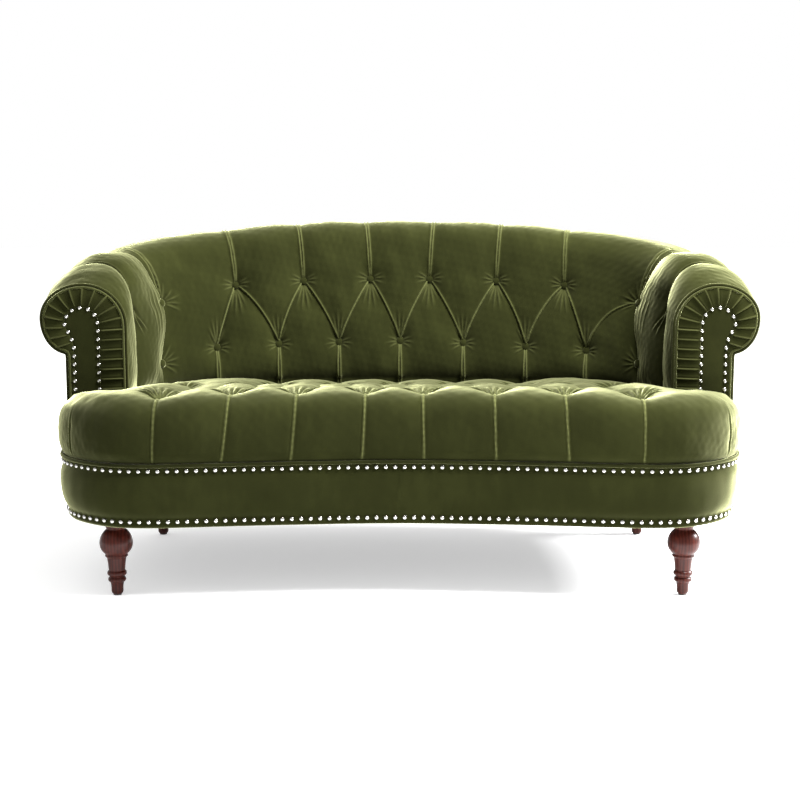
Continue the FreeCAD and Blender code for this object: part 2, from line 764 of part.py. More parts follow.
arm_top = arm_bar(700.0, 738.0, 570.0, 606.0, 150.0, 598.0, 634.0, -4.0)
arm_tack = arm_bar(722.0, 746.0, 330.0, 376.0, 165.0, 330.0, 376.0, -8.0)
for side in ("right", "left"):
    m = (lambda s: s) if side == "right" else mirror
    export("frame_arm_board_" + side, m(board))
    export("frame_arm_top_rail_" + side, m(arm_top))
    export("frame_arm_tack_rail_" + side, m(arm_tack))

# webbing straps behind the inside back
straps = []
for u in (-3.6, -2.4, -0.8, 0.8, 2.4, 3.6):
    A, B = [], []
    for du in (-0.14, -0.05, 0.05, 0.14):
        i, d, T = frame_at(u + du)
        ra, rb = [], []
        for r in range(5):
            z = 345.0 + (ZT(u) - 140.0 - 345.0) * r / 4.0
            n = KR(u + du) * max(0.0, z - RECLINE_Z) + PAD_BACK + 4.0
            ra.append(V(i.x + d.x * n, i.y + d.y * n, z))
            rb.append(V(i.x + d.x * (n + 2.0), i.y + d.y * (n + 2.0), z))
        A.append(ra)
        B.append(rb)
    straps.append(slab(A, B))
export("back_webbing", group(straps))

# ---------------------------------------------------------------- springs
def outline_y(x, off, front):
    pts = offset_base(off, 0)
    c = [p for p in pts if (p.y < 0) == front]
    c.sort(key=lambda p: abs(p.x - x))
    a, b = c[0], c[1]
    if abs(a.x - b.x) < 1e-6:
        return a.y
    t = (x - a.x) / (b.x - a.x)
    return a.y + (b.y - a.y) * t


def sinuous(x, y0, y1):
    """Zig-zag wire along Y: straight legs joined by half turns."""
    leg = 15.0
    r = 11.0
    turns = int((y1 - y0) / (2 * r))
    r = (y1 - y0) / (2.0 * turns)
    edges = [Part.makeLine(V(x, y0, SPRING_Z), V(x + leg, y0, SPRING_Z))]
    y = y0
    sg = 1
    for k in range(turns):
        edges.append(Part.Arc(V(x + sg * leg, y, SPRING_Z), V(x + sg * (leg + r), y + r, SPRING_Z),
                              V(x + sg * leg, y + 2 * r, SPRING_Z)).toShape())
        y += 2 * r
        end = V(x, y, SPRING_Z) if k == turns - 1 else V(x - sg * leg, y, SPRING_Z)
        edges.append(Part.makeLine(V(x + sg * leg, y, SPRING_Z), end))
        sg = -sg
    wire = Part.Wire(edges)
    circle = Part.Wire([Part.makeCircle(SPRING_R, V(x, y0, SPRING_Z), V(1, 0, 0))])
    return wire.makePipeShell([circle], True, False)


springs, clips = [], []
for x in SPRING_X:
    yf = outline_y(x, (RAIL_OUT + RAIL_IN) / 2, True)
    yb = outline_y(x, (RAIL_OUT + RAIL_IN) / 2, False)
    springs.append(sinuous(x, yf, yb))
    for y, s in ((yf, 1), (yb, -1)):
        base = Part.makeBox(18, 16, 1.5, V(x - 2, y - 8, RAIL_Z1 + 0.2))
        wall = Part.makeBox(18, 1.5, 9.2, V(x - 2, y - 8 if s > 0 else y + 6.5, RAIL_Z1 + 0.2))
        lip = Part.makeBox(18, 12, 1.5, V(x - 2, y - 8 if s > 0 else y - 4, RAIL_Z1 + 8.4))
        clips.append(base.fuse([wall, lip]).removeSplitter())
export("seat_springs", group(springs))
export("spring_clips", group(clips))

felt = prism(face_of(closed_curve(offset_base(-24.0, 303.0))), 5.0)
# notches where the upper frame stands
for p in (board, corner_post, back_post):
    bb = p.BoundBox
    felt = felt.cut(Part.makeBox(bb.XLength + 8, bb.YLength + 8, 30, V(bb.XMin - 4, bb.YMin - 4, 295)))
    felt = felt.cut(Part.makeBox(bb.XLength + 8, bb.YLength + 8, 30, V(-bb.XMax - 4, bb.YMin - 4, 295)))
felt = max(felt.Solids, key=lambda s: s.Volume)
export("seat_insulator_felt", felt)

# ---------------------------------------------------------------- feet
# turned profile: (radius, height)
FOOT_PROFILE = [(9.8, 3.0), (12.4, 6.0), (13.4, 14.0), (14.6, 27.0), (15.6, 31.0),
                (19.0, 33.0), (20.2, 36.5), (19.2, 40.0), (16.4, 42.5),
                (17.5, 44.5), (21.0, 47.5), (21.8, 51.0), (21.0, 54.5), (18.2, 57.5),
                (18.6, 62.0), (19.6, 72.0), (21.2, 84.0), (21.8, 87.6),
                (25.0, 89.6), (25.8, 91.6), (25.0, 93.6), (24.2, 95.0),
                (29.5, 100.0), (34.2, 107.0), (36.6, 115.0), (37.2, 122.0), (36.0, 130.0),
                (32.4, 139.0), (27.0, 146.5), (22.0, 151.5), (21.2, 153.5),
                (22.6, 156.0), (22.6, FOOT_TOP)]
fpts = [V(r, 0, z) for r, z in FOOT_PROFILE]
fedges = [open_curve(fpts[0:5]).toShape(), open_curve(fpts[4:9]).toShape(), open_curve(fpts[8:14]).toShape(),
          open_curve(fpts[13:18]).toShape(), open_curve(fpts[17:22]).toShape(), open_curve(fpts[21:30]).toShape(),
          open_curve(fpts[29:32]).toShape(), Part.makeLine(fpts[31], fpts[32]),
          Part.makeLine(fpts[32], V(0, 0, FOOT_TOP)), Part.makeLine(V(0, 0, FOOT_TOP), V(0, 0, 3.0)),
          Part.makeLine(V(0, 0, 3.0), fpts[0])]
foot = Part.Face(Part.Wire(Part.__sortEdges__(fedges))).revolve(V(0, 0, 0), V(0, 0, 1), 360)
foot = foot.cut(Part.makeCylinder(BOLT_R + 0.2, 60, V(0, 0, FOOT_TOP - 42)))
foot = foot.cut(Part.makeCylinder(1.4, 12, V(0, 0, 2.0)))
bolts, nuts, glides = [], [], []
names = ["foot_front_right", "foot_front_left", "foot_rear_right", "foot_rear_left"]
for name, (fx, fy) in zip(names, feet_xy):
    f = foot.copy()
    f.translate(V(fx, fy, 0))
    export(name, f)
    bolts.append(Part.makeCylinder(BOLT_R, 79.0, V(fx, fy, FOOT_TOP - 41.5)))
    z2 = RAIL_Z0 + 34
    nut = Part.makeCylinder(9.0, 1.6, V(fx, fy, z2 + 0.2)).fuse(Part.makeCylinder(5.6, 12, V(fx, fy, z2 - 11.8)))
    nut = nut.removeSplitter().cut(Part.makeCylinder(BOLT_R + 0.2, 40, V(fx, fy, z2 - 20)))
    nuts.append(nut)
    glide = Part.makeCylinder(9.4, 2.8, V(fx, fy, 0)).fuse(Part.makeCylinder(1.2, 10, V(fx, fy, 2.0))).removeSplitter()
    edge = [e for e in glide.Edges if abs(e.BoundBox.ZMax) < 1e-6]
    glides.append(glide.makeFillet(0.8, edge))
export("foot_hanger_bolts", group(bolts))
export("foot_t_nuts", group(nuts))
export("foot_glides", group(glides))

dust = prism(face_of(closed_curve(offset_base(-19.0, 179.8))), 1.6)
for fx, fy in feet_xy:
    dust = dust.cut(Part.makeCylinder(25.0, 20, V(fx, fy, 170)))
export("dust_cover", dust)
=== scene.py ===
import bpy
import math
import numpy as np
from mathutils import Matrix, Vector


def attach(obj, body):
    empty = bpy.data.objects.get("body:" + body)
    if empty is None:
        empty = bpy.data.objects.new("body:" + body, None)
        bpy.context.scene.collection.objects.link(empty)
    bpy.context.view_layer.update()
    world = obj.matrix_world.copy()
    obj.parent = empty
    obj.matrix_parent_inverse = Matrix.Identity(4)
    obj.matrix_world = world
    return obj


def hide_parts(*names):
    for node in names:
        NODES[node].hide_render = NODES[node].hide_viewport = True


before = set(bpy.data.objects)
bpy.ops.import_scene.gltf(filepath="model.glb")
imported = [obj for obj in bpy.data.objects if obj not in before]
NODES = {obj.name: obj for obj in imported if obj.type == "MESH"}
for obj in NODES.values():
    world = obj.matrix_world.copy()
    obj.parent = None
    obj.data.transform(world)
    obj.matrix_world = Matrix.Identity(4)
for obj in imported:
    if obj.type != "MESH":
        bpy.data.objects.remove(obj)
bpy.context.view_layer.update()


# Everything below is worked out in millimetres in the CAD frame and scaled to
# metres when a mesh is made.


# ---------------------------------------------------------------- helpers
def nspline(ts, vs):
    """Natural cubic spline."""
    ts = np.asarray(ts, float)
    vs = np.asarray(vs, float)
    n = len(ts)
    h = np.diff(ts)
    A = np.eye(n)
    d = np.zeros(n)
    for i in range(1, n - 1):
        A[i, i - 1], A[i, i], A[i, i + 1] = h[i - 1], 2 * (h[i - 1] + h[i]), h[i]
        d[i] = 6 * ((vs[i + 1] - vs[i]) / h[i] - (vs[i] - vs[i - 1]) / h[i - 1])
    m = np.linalg.solve(A, d)

    def f(t):
        t = np.asarray(t, float)
        i = np.clip(np.searchsorted(ts, t) - 1, 0, n - 2)
        hh = h[i]
        a = (ts[i + 1] - t) / hh
        b = (t - ts[i]) / hh
        return a * vs[i] + b * vs[i + 1] + ((a ** 3 - a) * m[i] + (b ** 3 - b) * m[i + 1]) * hh ** 2 / 6
    return f


def sstep(a, b, x):
    t = np.clip((np.asarray(x, float) - a) / (b - a), 0, 1)
    return t * t * (3 - 2 * t)


def unit(v):
    return v / np.maximum(np.linalg.norm(v, axis=-1, keepdims=True), 1e-9)


def arc_len(p):
    return np.concatenate([[0.0], np.cumsum(np.linalg.norm(np.diff(p, axis=0), axis=1))])


def resample(p, step=None, count=None, closed=False):
    """Points at equal steps along a polyline."""
    p = np.asarray(p, float)
    if closed:
        p = np.vstack([p, p[:1]])
    s = arc_len(p)
    if count is None:
        count = max(2, int(round(s[-1] / step)) + (0 if closed else 1))
    t = np.linspace(0, s[-1], count + 1)[:-1] if closed else np.linspace(0, s[-1], count)
    return np.stack([np.interp(t, s, p[:, k]) for k in range(p.shape[1])], 1)


def make_mesh(name, verts, quads=None, tris=None, smooth=True, painted_highlight=None):
    quads = np.zeros((0, 4), np.int64) if quads is None else np.asarray(quads, np.int64)
    tris = np.zeros((0, 3), np.int64) if tris is None else np.asarray(tris, np.int64)
    me = bpy.data.meshes.new(name)
    me.vertices.add(len(verts))
    me.vertices.foreach_set("co", (np.asarray(verts, float) * 0.001).astype(np.float32).ravel())
    loops = np.concatenate([quads.ravel(), tris.ravel()]).astype(np.int32)
    me.loops.add(len(loops))
    me.loops.foreach_set("vertex_index", loops)
    nq, nt = len(quads), len(tris)
    me.polygons.add(nq + nt)
    starts = np.concatenate([np.arange(nq) * 4, nq * 4 + np.arange(nt) * 3]).astype(np.int32)
    me.polygons.foreach_set("loop_start", starts)
    me.update(calc_edges=True)
    me.validate()
    me.polygons.foreach_set("use_smooth", np.full(nq + nt, smooth))
    # per-point painted highlight on the fold crests, read by the velvet material
    if painted_highlight is not None:
        at = me.attributes.new("painted_highlight", "FLOAT", "POINT")
        at.data.foreach_set("value", np.asarray(painted_highlight, np.float32).ravel())
    me.update()
    ob = bpy.data.objects.new(name, me)
    bpy.context.scene.collection.objects.link(ob)
    return ob


def grid_faces(nr, nc, wrap_r=False, wrap_c=False, base=0, flip=False):
    R, C = np.meshgrid(np.arange(nr if wrap_r else nr - 1), np.arange(nc if wrap_c else nc - 1), indexing="ij")
    R1, C1 = (R + 1) % nr, (C + 1) % nc
    q = np.stack([R * nc + C, R * nc + C1, R1 * nc + C1, R1 * nc + C], -1).reshape(-1, 4) + base
    return q[:, ::-1] if flip else q


def zip_open(A, B):
    """Triangles between two open runs of vertices of different counts."""
    n, m = len(A) - 1, len(B) - 1
    i = j = 0
    out = []
    while i < n or j < m:
        if j >= m or (i < n and (i + 1) * m <= (j + 1) * n):
            out.append((A[i], A[i + 1], B[j]))
            i += 1
        else:
            out.append((A[i], B[j + 1], B[j]))
            j += 1
    return out


def closed_pad(name, front, back, painted_highlight=None):
    """Closed mesh from a fine front grid and a coarse back grid with the same
    corners; the front faces along (column x row). The last argument is a painted
    highlight on the crests of the folds, per front point."""
    nr, nc = front.shape[:2]
    mr, mc = back.shape[:2]
    base = nr * nc
    verts = np.vstack([front.reshape(-1, 3), back.reshape(-1, 3)])
    quads = np.vstack([grid_faces(nr, nc), grid_faces(mr, mc, base=base, flip=True)])
    fi = np.arange(base).reshape(nr, nc)
    bi = np.arange(mr * mc).reshape(mr, mc) + base
    tris = []
    tris += zip_open(list(fi[0, ::-1]), list(bi[0, ::-1]))
    tris += zip_open(list(fi[:, 0]), list(bi[:, 0]))
    tris += zip_open(list(fi[-1, :]), list(bi[-1, :]))
    tris += zip_open(list(fi[::-1, -1]), list(bi[::-1, -1]))
    if painted_highlight is not None:
        painted_highlight = np.concatenate([painted_highlight.ravel(), np.zeros(mr * mc)])
    return make_mesh(name, verts, quads, tris, painted_highlight=painted_highlight)


def grid_normals(P, wrap_c=False):
    if wrap_c:
        dc = np.roll(P, -1, 1) - np.roll(P, 1, 1)
    else:
        dc = np.gradient(P, axis=1)
    dr = np.gradient(P, axis=0)
    return unit(np.cross(dc, dr))


def membrane(mask, val, H0, lam, iters=170, w=1.82, wrap_c=False):
    """Taut skin over soft filling: relaxes to H0 away from the points that are
    tied down, over the length lam (in cells)."""
    kk = 1.0 / np.broadcast_to(np.asarray(lam, float), H0.shape) ** 2
    h = H0.copy()
    h[mask] = val[mask]
    den = 1.0 / (4 + kk)
    kH = kk * H0
    R, C = np.indices(H0.shape)
    free = [((R + C) % 2 == c) & ~mask for c in (0, 1)]
    free = [f.astype(float) * w for f in free]
    for _ in range(iters):
        for f in free:
            if wrap_c:
                nb = np.roll(h, 1, 1) + np.roll(h, -1, 1)
            else:
                nb = np.concatenate([h[:, :1], h[:, :-1]], 1) + np.concatenate([h[:, 1:], h[:, -1:]], 1)
            nb = nb + np.concatenate([h[:1], h[:-1]], 0) + np.concatenate([h[1:], h[-1:]], 0)
            h = h + f * ((nb + kH) * den - h)
    return h


def blur(h, n):
    for _ in range(n):
        h = (h + np.concatenate([h[:, :1], h[:, :-1]], 1) + np.concatenate([h[:, 1:], h[:, -1:]], 1)) / 3
        h = (h + np.concatenate([h[:1], h[:-1]], 0) + np.concatenate([h[1:], h[-1:]], 0)) / 3
    return h


def bilinear(F, r, c):
    nr, nc = F.shape[:2]
    r = np.clip(r, 0, nr - 1.001)
    c = np.clip(c, 0, nc - 1.001)
    r0, c0 = r.astype(int), c.astype(int)
    fr, fc = r - r0, c - c0
    if F.ndim == 3:
        fr, fc = fr[..., None], fc[..., None]
    return (F[r0, c0] * (1 - fr) * (1 - fc) + F[r0 + 1, c0] * fr * (1 - fc)
            + F[r0, c0 + 1] * (1 - fr) * fc + F[r0 + 1, c0 + 1] * fr * fc)


class Field:
    """Height field on a grid of points: lines are tied down to given depths,
    then pleats and folds are laid along them."""

    def __init__(self, P):
        self.P = P
        self.shape = P.shape[:2]
        self.mask = np.zeros(self.shape, bool)
        self.val = np.zeros(self.shape)
        self.add = np.zeros(self.shape)
        # painted highlight along the fold crests
        self.painted_highlight = np.zeros(self.shape)

    def line(self, pts, depth):
        """pts: (row, col) polyline, depth(e0, e1, t) from the distances to both ends."""
        pts = np.asarray(pts, float)
        s = arc_len(pts)
        n = max(4, int(s[-1] * 3))
        t = np.linspace(0, s[-1], n)
        r = np.interp(t, s, pts[:, 0])
        c = np.interp(t, s, pts[:, 1])
        q = bilinear(self.P, r, c)
        e = arc_len(q)
        v = depth(e, e[-1] - e, e / max(e[-1], 1e-6))
        ri = np.clip(np.round(r).astype(int), 0, self.shape[0] - 1)
        ci = np.clip(np.round(c).astype(int), 0, self.shape[1] - 1)
        old = self.mask[ri, ci]
        self.val[ri, ci] = np.where(old, np.minimum(self.val[ri, ci], v), v)
        self.mask[ri, ci] = True

    def near(self, pts, reach):
        """Cells near a polyline: rows, cols, signed distance, distances along."""
        pts = np.asarray(pts, float)
        s = arc_len(pts)
        n = max(6, int(s[-1] * 1.2))
        t = np.linspace(0, s[-1], n)
        r = np.interp(t, s, pts[:, 0])
        c = np.interp(t, s, pts[:, 1])
        q = bilinear(self.P, r, c)
        e = arc_len(q)
        tr, tc = np.gradient(r), np.gradient(c)
        k = int(reach / 1.6) + 2
        a0, a1 = max(0, int(r.min()) - k), min(self.shape[0], int(r.max()) + k + 1)
        b0, b1 = max(0, int(c.min()) - k), min(self.shape[1], int(c.max()) + k + 1)
        RR, CC = np.mgrid[a0:a1, b0:b1]
        RR, CC = RR.ravel(), CC.ravel()
        best = np.full(len(RR), 1e9)
        arg = np.zeros(len(RR), int)
        X = self.P[RR, CC]
        for j in range(n):
            d = np.abs(X - q[j])
            near = np.einsum("ij,ij->i", d, d)
            up = near < best
            best[up] = near[up]
            arg[up] = j
        dist = np.sqrt(best)
        keep = dist < reach
        RR, CC, arg, dist = RR[keep], CC[keep], arg[keep], dist[keep]
        side = np.sign(tc[arg] * (RR - r[arg]) - tr[arg] * (CC - c[arg]))
        return RR, CC, dist * side, e[arg], e[-1] - e[arg]

    def fold(self, pts, profile, reach=16.0, painted_highlight=None):
        """Adds profile(d, e0, e1) across a polyline, and paints a highlight along its crest by the last function."""
        R, C, d, e0, e1 = self.near(pts, reach)
        self.add[R, C] += profile(d, e0, e1)
        if painted_highlight is not None:
            self.painted_highlight[R, C] = np.maximum(self.painted_highlight[R, C], painted_highlight(d, e0, e1))


def bump(x, s):
    return np.exp(-(x / s) ** 2)


def knife(height, groove, start=10.0):
    """One sharp fold with a dark groove on its lower side."""
    def f(d, e0, e1):
        a = sstep(0, start, e0) * sstep(0, start, e1)
        return a * (height * bump(d - 2.0, 2.0) - groove * bump(d + 2.2, 2.2))
    return f


def tuck(height, groove, half, fade=14.0, end=1.0):
    """Double-edged tuck: two ridges with a groove between."""
    def f(d, e0, e1):
        a = sstep(0, fade, e0)
        a = a * (end + (1 - end) * sstep(0, 60, e1))
        h = half * (0.55 + 0.45 * sstep(0, 60, e0))
        return a * (height * (bump(np.abs(d) - h, 1.9)) - groove * bump(d, 0.55 * half))
    return f


def painted_highlight_line(at, amount, width=1.7, start=12.0, pair=False):
    """Painted highlight line along a fold, in place of the sheen on its crest, at distance at from its line."""
    def f(d, e0, e1):
        x = np.abs(d) - at * (0.6 + 0.4 * sstep(0, 60, e0)) if pair else d - at
        return amount * sstep(0, start, e0) * bump(x, width)
    return f


def fan(field, r0, c0, dr, dc, angles, lengths, height, width=2.6, start=9.0, painted_highlight=0.16):
    """Folds that run out from a button. Angles in degrees from the +row direction,
    positive towards +col; dr, dc are the cell sizes in mm."""
    for ang, L in zip(angles, lengths):
        a = math.radians(ang)
        n = 8
        pts = []
        for j in range(n + 1):
            e = start + (L - start) * j / n
            pts.append((r0 + e * math.cos(a) / dr, c0 + e * math.sin(a) / dc))

        def prof(d, e0, e1, L=L):
            t = e0 / max(L - start, 1.0)
            w = width * (0.75 + 0.9 * t)
            return height * sstep(0, 0.16, t) * (1 - sstep(0.3, 1.0, t)) * (bump(d, w) - 0.55 * bump(d - 2.1 * w, 1.1 * w))
        # each fold also gets a painted highlight along its crest
        field.fold(pts, prof, reach=15.0, painted_highlight=lambda d, e0, e1, L=L: painted_highlight * sstep(0, 0.12, e0 / L) * (1 - sstep(0.25, 0.9, e0 / L)) * bump(d, 1.9))


def noise2(x, y, seed, scale):
    """Smooth deterministic ripple from a few crossed waves."""
    rng = np.random.RandomState(seed)
    out = np.zeros_like(x)
    for _ in range(9):
        a = rng.uniform(0, 2 * math.pi)
        f = rng.uniform(0.6, 1.7) * 2 * math.pi / scale
        out += np.sin((x * math.cos(a) + y * math.sin(a)) * f + rng.uniform(0, 2 * math.pi))
    return out / 3.0


# ---------------------------------------------------------------- shape tables
Z_LOW = 316.0
RECLINE_Z = 440.0
ARM_FRONT_Y = -124.0
BASE_PTS = [(0, -345), (97, -348), (195, -356), (311, -367), (431, -382),
            (515, -392), (565, -394), (615, -388), (658, -371), (700, -341),
            (735, -302), (757, -256), (766, -205), (769, -124), (768, -22),
            (762, 100), (738, 243), (652, 341), (502, 373), (336, 387),
            (166, 392.5), (0, 394)]
STATIONS = np.array([
    (0, 228, 0, 399, 821, 55, 55, 10, 52, 60, 0.194),
    (160, 225, 166, 397, 819, 57, 56, 11, 53, 61, 0.190),
    (315, 212, 336, 391, 811, 61, 60, 13, 56, 63, 0.185),
    (455, 184, 502, 378, 797, 68, 66, 17, 60, 66, 0.175),
    (558, 134, 655, 345, 781, 76, 74, 24, 66, 69, 0.150),
    (610, 68, 745, 245, 766, 85, 82, 34, 71, 72, 0.110),
    (631, -2, 770, 100, 752, 92, 88, 46, 75, 75, 0.060),
    (640, -62, 776, -22, 731, 95, 92, 55, 77, 77, 0.020),
    (642, -124, 778, -124, 684, 97, 94, 58, 78, 78, 0.0)], float)
S_T = np.arange(-8.0, 9.0)


def column(j, odd):
    right = STATIONS[:, j]
    left = (-right if odd else right)[:0:-1]
    return nspline(S_T, np.concatenate([left, right]))


IX, IY, OX, OY = column(0, True), column(1, False), column(2, True), column(3, False)
ZT, AI, BI, OVER, BO, BC, KR = [column(j, False) for j in range(4, 11)]

# closed nail line of the base
half = np.array(BASE_PTS, float)
loop = np.vstack([half, (half * [-1, 1])[-2:0:-1]])
ext = np.vstack([loop[-6:], loop, loop[:7]])
es = arc_len(ext)
efx, efy = nspline(es, ext[:, 0]), nspline(es, ext[:, 1])
tt = np.linspace(es[6], es[6 + len(loop)], 6001)[:-1]
BASE_LINE = resample(np.stack([efx(tt), efy(tt)], 1), count=3000, closed=True)


def ring_normals(p):
    t = np.roll(p, -1, 0) - np.roll(p, 1, 0)
    t = unit(t)
    return np.stack([t[:, 1], -t[:, 0]], 1)


BAND_PROFILE = [(168.0, -5.0), (172, -0.8), (176.5, 0.5), (189.5, 0.5), (197, 4.6), (214, 11.2),
                (240, 14.6), (266, 14.6), (283, 11.6), (291, 9.0), (305.0, 9.0)]
band_f = nspline([z for z, o in BAND_PROFILE], [o for z, o in BAND_PROFILE])


def band_scale(p):
    return np.where(p[:, 1] > -300, 1.0, 0.45 + 0.55 * sstep(60, 430, np.abs(p[:, 0])))


def band_outline(pts, nor, z, extra=0.0):
    o = float(band_f(z))
    d = (o * band_scale(pts) if o > 0 else np.full(len(pts), o)) + extra
    return np.column_stack([pts + nor * d[:, None], np.full(len(pts), z)])


# ---------------------------------------------------------------- inside back and arms
DS = 2.0                     # grid step along the face
ZL = 392.0                   # lower edge of the pads, below the seat's top
NL, NI, NO, NC, NT = 186, 54, 50, 36, 5
NR = NL + NI + NO + NC + NT
ROW = np.arange(NR)
RIDGE = NL + NI
C_SEAM = 4.15                # column of the seam between back and arm
C_ARM = 5.85                 # column of the arm's channel
C_END = 7.93

g_f = nspline([0, 1.5, 2.7, 3.4, 4.15, 5.0, 5.85, 7.0, 8.0], [0, .02, .1, .66, 1.40, 1.25, .88, .42, 0])
f_row = np.clip((ROW - 93) / (RIDGE - 93.0), 0, 1) ** 2.0 + 0.15 * np.clip((ROW - RIDGE) / (NR - 1.0 - RIDGE), 0, 1)
f_low = 1 - sstep(45, 140, ROW)


def station(c):
    """Station of each grid column at each row; pleat lines are columns."""
    a = np.abs(c)
    g = np.sign(c) * g_f(a)
    g2 = np.sign(c) * 0.30 * np.exp(-((a - C_SEAM) / 0.75) ** 2)
    return np.clip(c[None, :] + g[None, :] * f_row[:, None] + g2[None, :] * f_low[:, None], -8, 8)


def shell(c):
    U = station(c)
    ix, iy, ox, oy = IX(U), IY(U), OX(U), OY(U)
    dx, dy = ox - ix, oy - iy
    T = np.hypot(dx, dy)
    dx, dy = dx / T, dy / T
    zt, ai, bi, over, bo, bc, k = ZT(U), AI(U), BI(U), OVER(U), BO(U), BC(U), KR(U)
    z1 = zt - bi
    nt = ai + k * (z1 - RECLINE_Z)
    no = T + over
    ao = no - nt
    ac = over + 1.0
    n = np.zeros_like(U)
    z = np.zeros_like(U)
    R = ROW[:, None] * np.ones_like(U)
    m = R < NL
    zz = ZL + (z1 - ZL) * R / NL
    q = zz - RECLINE_Z
    n[m] = (k * 0.5 * (q + np.sqrt(q * q + 300.0)))[m]
    z[m] = zz[m]
    m = (R >= NL) & (R < NL + NI)
    a = (R - NL) / NI * math.pi / 2
    n[m] = (nt - ai * np.cos(a))[m]
    z[m] = (z1 + bi * np.sin(a))[m]
    m = (R >= RIDGE) & (R < RIDGE + NO)
    a = (R - RIDGE) / NO * math.pi / 2
    n[m] = (nt + ao * np.sin(a))[m]
    z[m] = (zt - bo + bo * np.cos(a))[m]
    m = (R >= RIDGE + NO) & (R < RIDGE + NO + NC)
    a = (R - RIDGE - NO) / NC * math.pi / 2
    n[m] = (no - ac + ac * np.cos(a))[m]
    z[m] = (zt - bo - bc * np.sin(a))[m]
    m = R >= RIDGE + NO + NC
    t = (R - RIDGE - NO - NC) / (NT - 1)
    n[m] = ((no - ac) * (1 - t) + (T - 11.0) * t)[m]
    z[m] = (zt - bo - bc)[m]
    return np.stack([ix + dx * n, iy + dy * n, z], -1), U


cc = np.linspace(-C_END, C_END, 3001)
P0, U0 = shell(cc)
s_mid = arc_len(P0[110])
half_n = int(round(s_mid[-1] / 2 / DS))
# columns at equal steps, with one column exactly on each seam and channel
knots = np.array([0.0, C_SEAM, C_ARM, C_END])
c_right = [np.array([0.0])]
s0 = np.interp(0.0, cc, s_mid)
for a, b in zip(knots, knots[1:]):
    sa, sb = np.interp(a, cc, s_mid), np.interp(b, cc, s_mid)
    k = max(2, int(round((sb - sa) / DS)))
    c_right.append(np.interp(np.linspace(sa, sb, k + 1)[1:], s_mid, cc))
c_right = np.concatenate(c_right)
COLS = np.concatenate([-c_right[:0:-1], c_right])
SH, SU = shell(COLS)
# the face runs into the roll without a crease
w_row = 0.5 * bump(ROW[1:-1] - NL, 34.0)[:, None, None]
for _ in range(260):
    SH[1:-1] = SH[1:-1] * (1 - w_row) + 0.5 * w_row * (SH[:-2] + SH[2:])
SN = grid_normals(SH)
COL0 = len(c_right) - 1
DC = DS
row_mm = np.linalg.norm(np.gradient(SH, axis=0), axis=-1)


def col_of(c):
    return float(np.interp(c, COLS, np.arange(len(COLS))))


def face_cell(u, z):
    """Grid place of a point of the inside face given by station and height."""
    d = ((SU[:NL + 20] - u) * 150) ** 2 + (SH[:NL + 20, :, 2] - z) ** 2
    r, c = np.unravel_index(np.argmin(d), d.shape)
    return float(r), float(c)


def row_at(col, z):
    return float(np.argmin(np.abs(SH[:NL + 20, int(round(col)), 2] - z)))


fld = Field(SH)
H0 = np.where(ROW < NL - 60, 15.0, 15.0 - 11.5 * sstep(NL - 60, NL + 44, ROW))[:, None] * np.ones(fld.shape)
# the pads swell less towards the arm fronts
ac_ = np.abs(COLS)[None, :]
H0 = H0 + np.where(ROW < NL, 1.0, 1.0 - 0.8 * sstep(NL, RIDGE, ROW))[:, None] * 11.0 * sstep(C_SEAM - 0.05, C_SEAM + 0.3, ac_) * (1 - sstep(7.2, 7.93, ac_))

UP = [(0.47, 677), (1.54, 674), (2.68, 664)]
LO = {-1: [(0.0, 519), (0.98, 516), (1.97, 511), (3.05, 506)],
      1: [(0.0, 519), (1.02, 514), (2.04, 505), (3.13, 499)]}
TOPC = {-1: [0.52, 1.62, 2.72], 1: [0.52, 1.60, 2.62]}
back_cells, arm_cells = [], []
PULL = 20.0


def to_button(base, reach=30.0, both=True):
    def f(e0, e1, t):
        v = -base - (PULL - base) * np.exp(-e0 / reach)
        if both:
            v = v - (PULL - base) * np.exp(-e1 / reach)
        return v
    return f


def curved(p, q, bow):
    """Slightly bowed line between two cells."""
    p, q = np.array(p), np.array(q)
    t = np.linspace(0, 1, 13)[:, None]
    d = q - p
    nrm = np.array([-d[1], d[0]])
    return p + d * t + nrm * (bow * 4 * t * (1 - t))


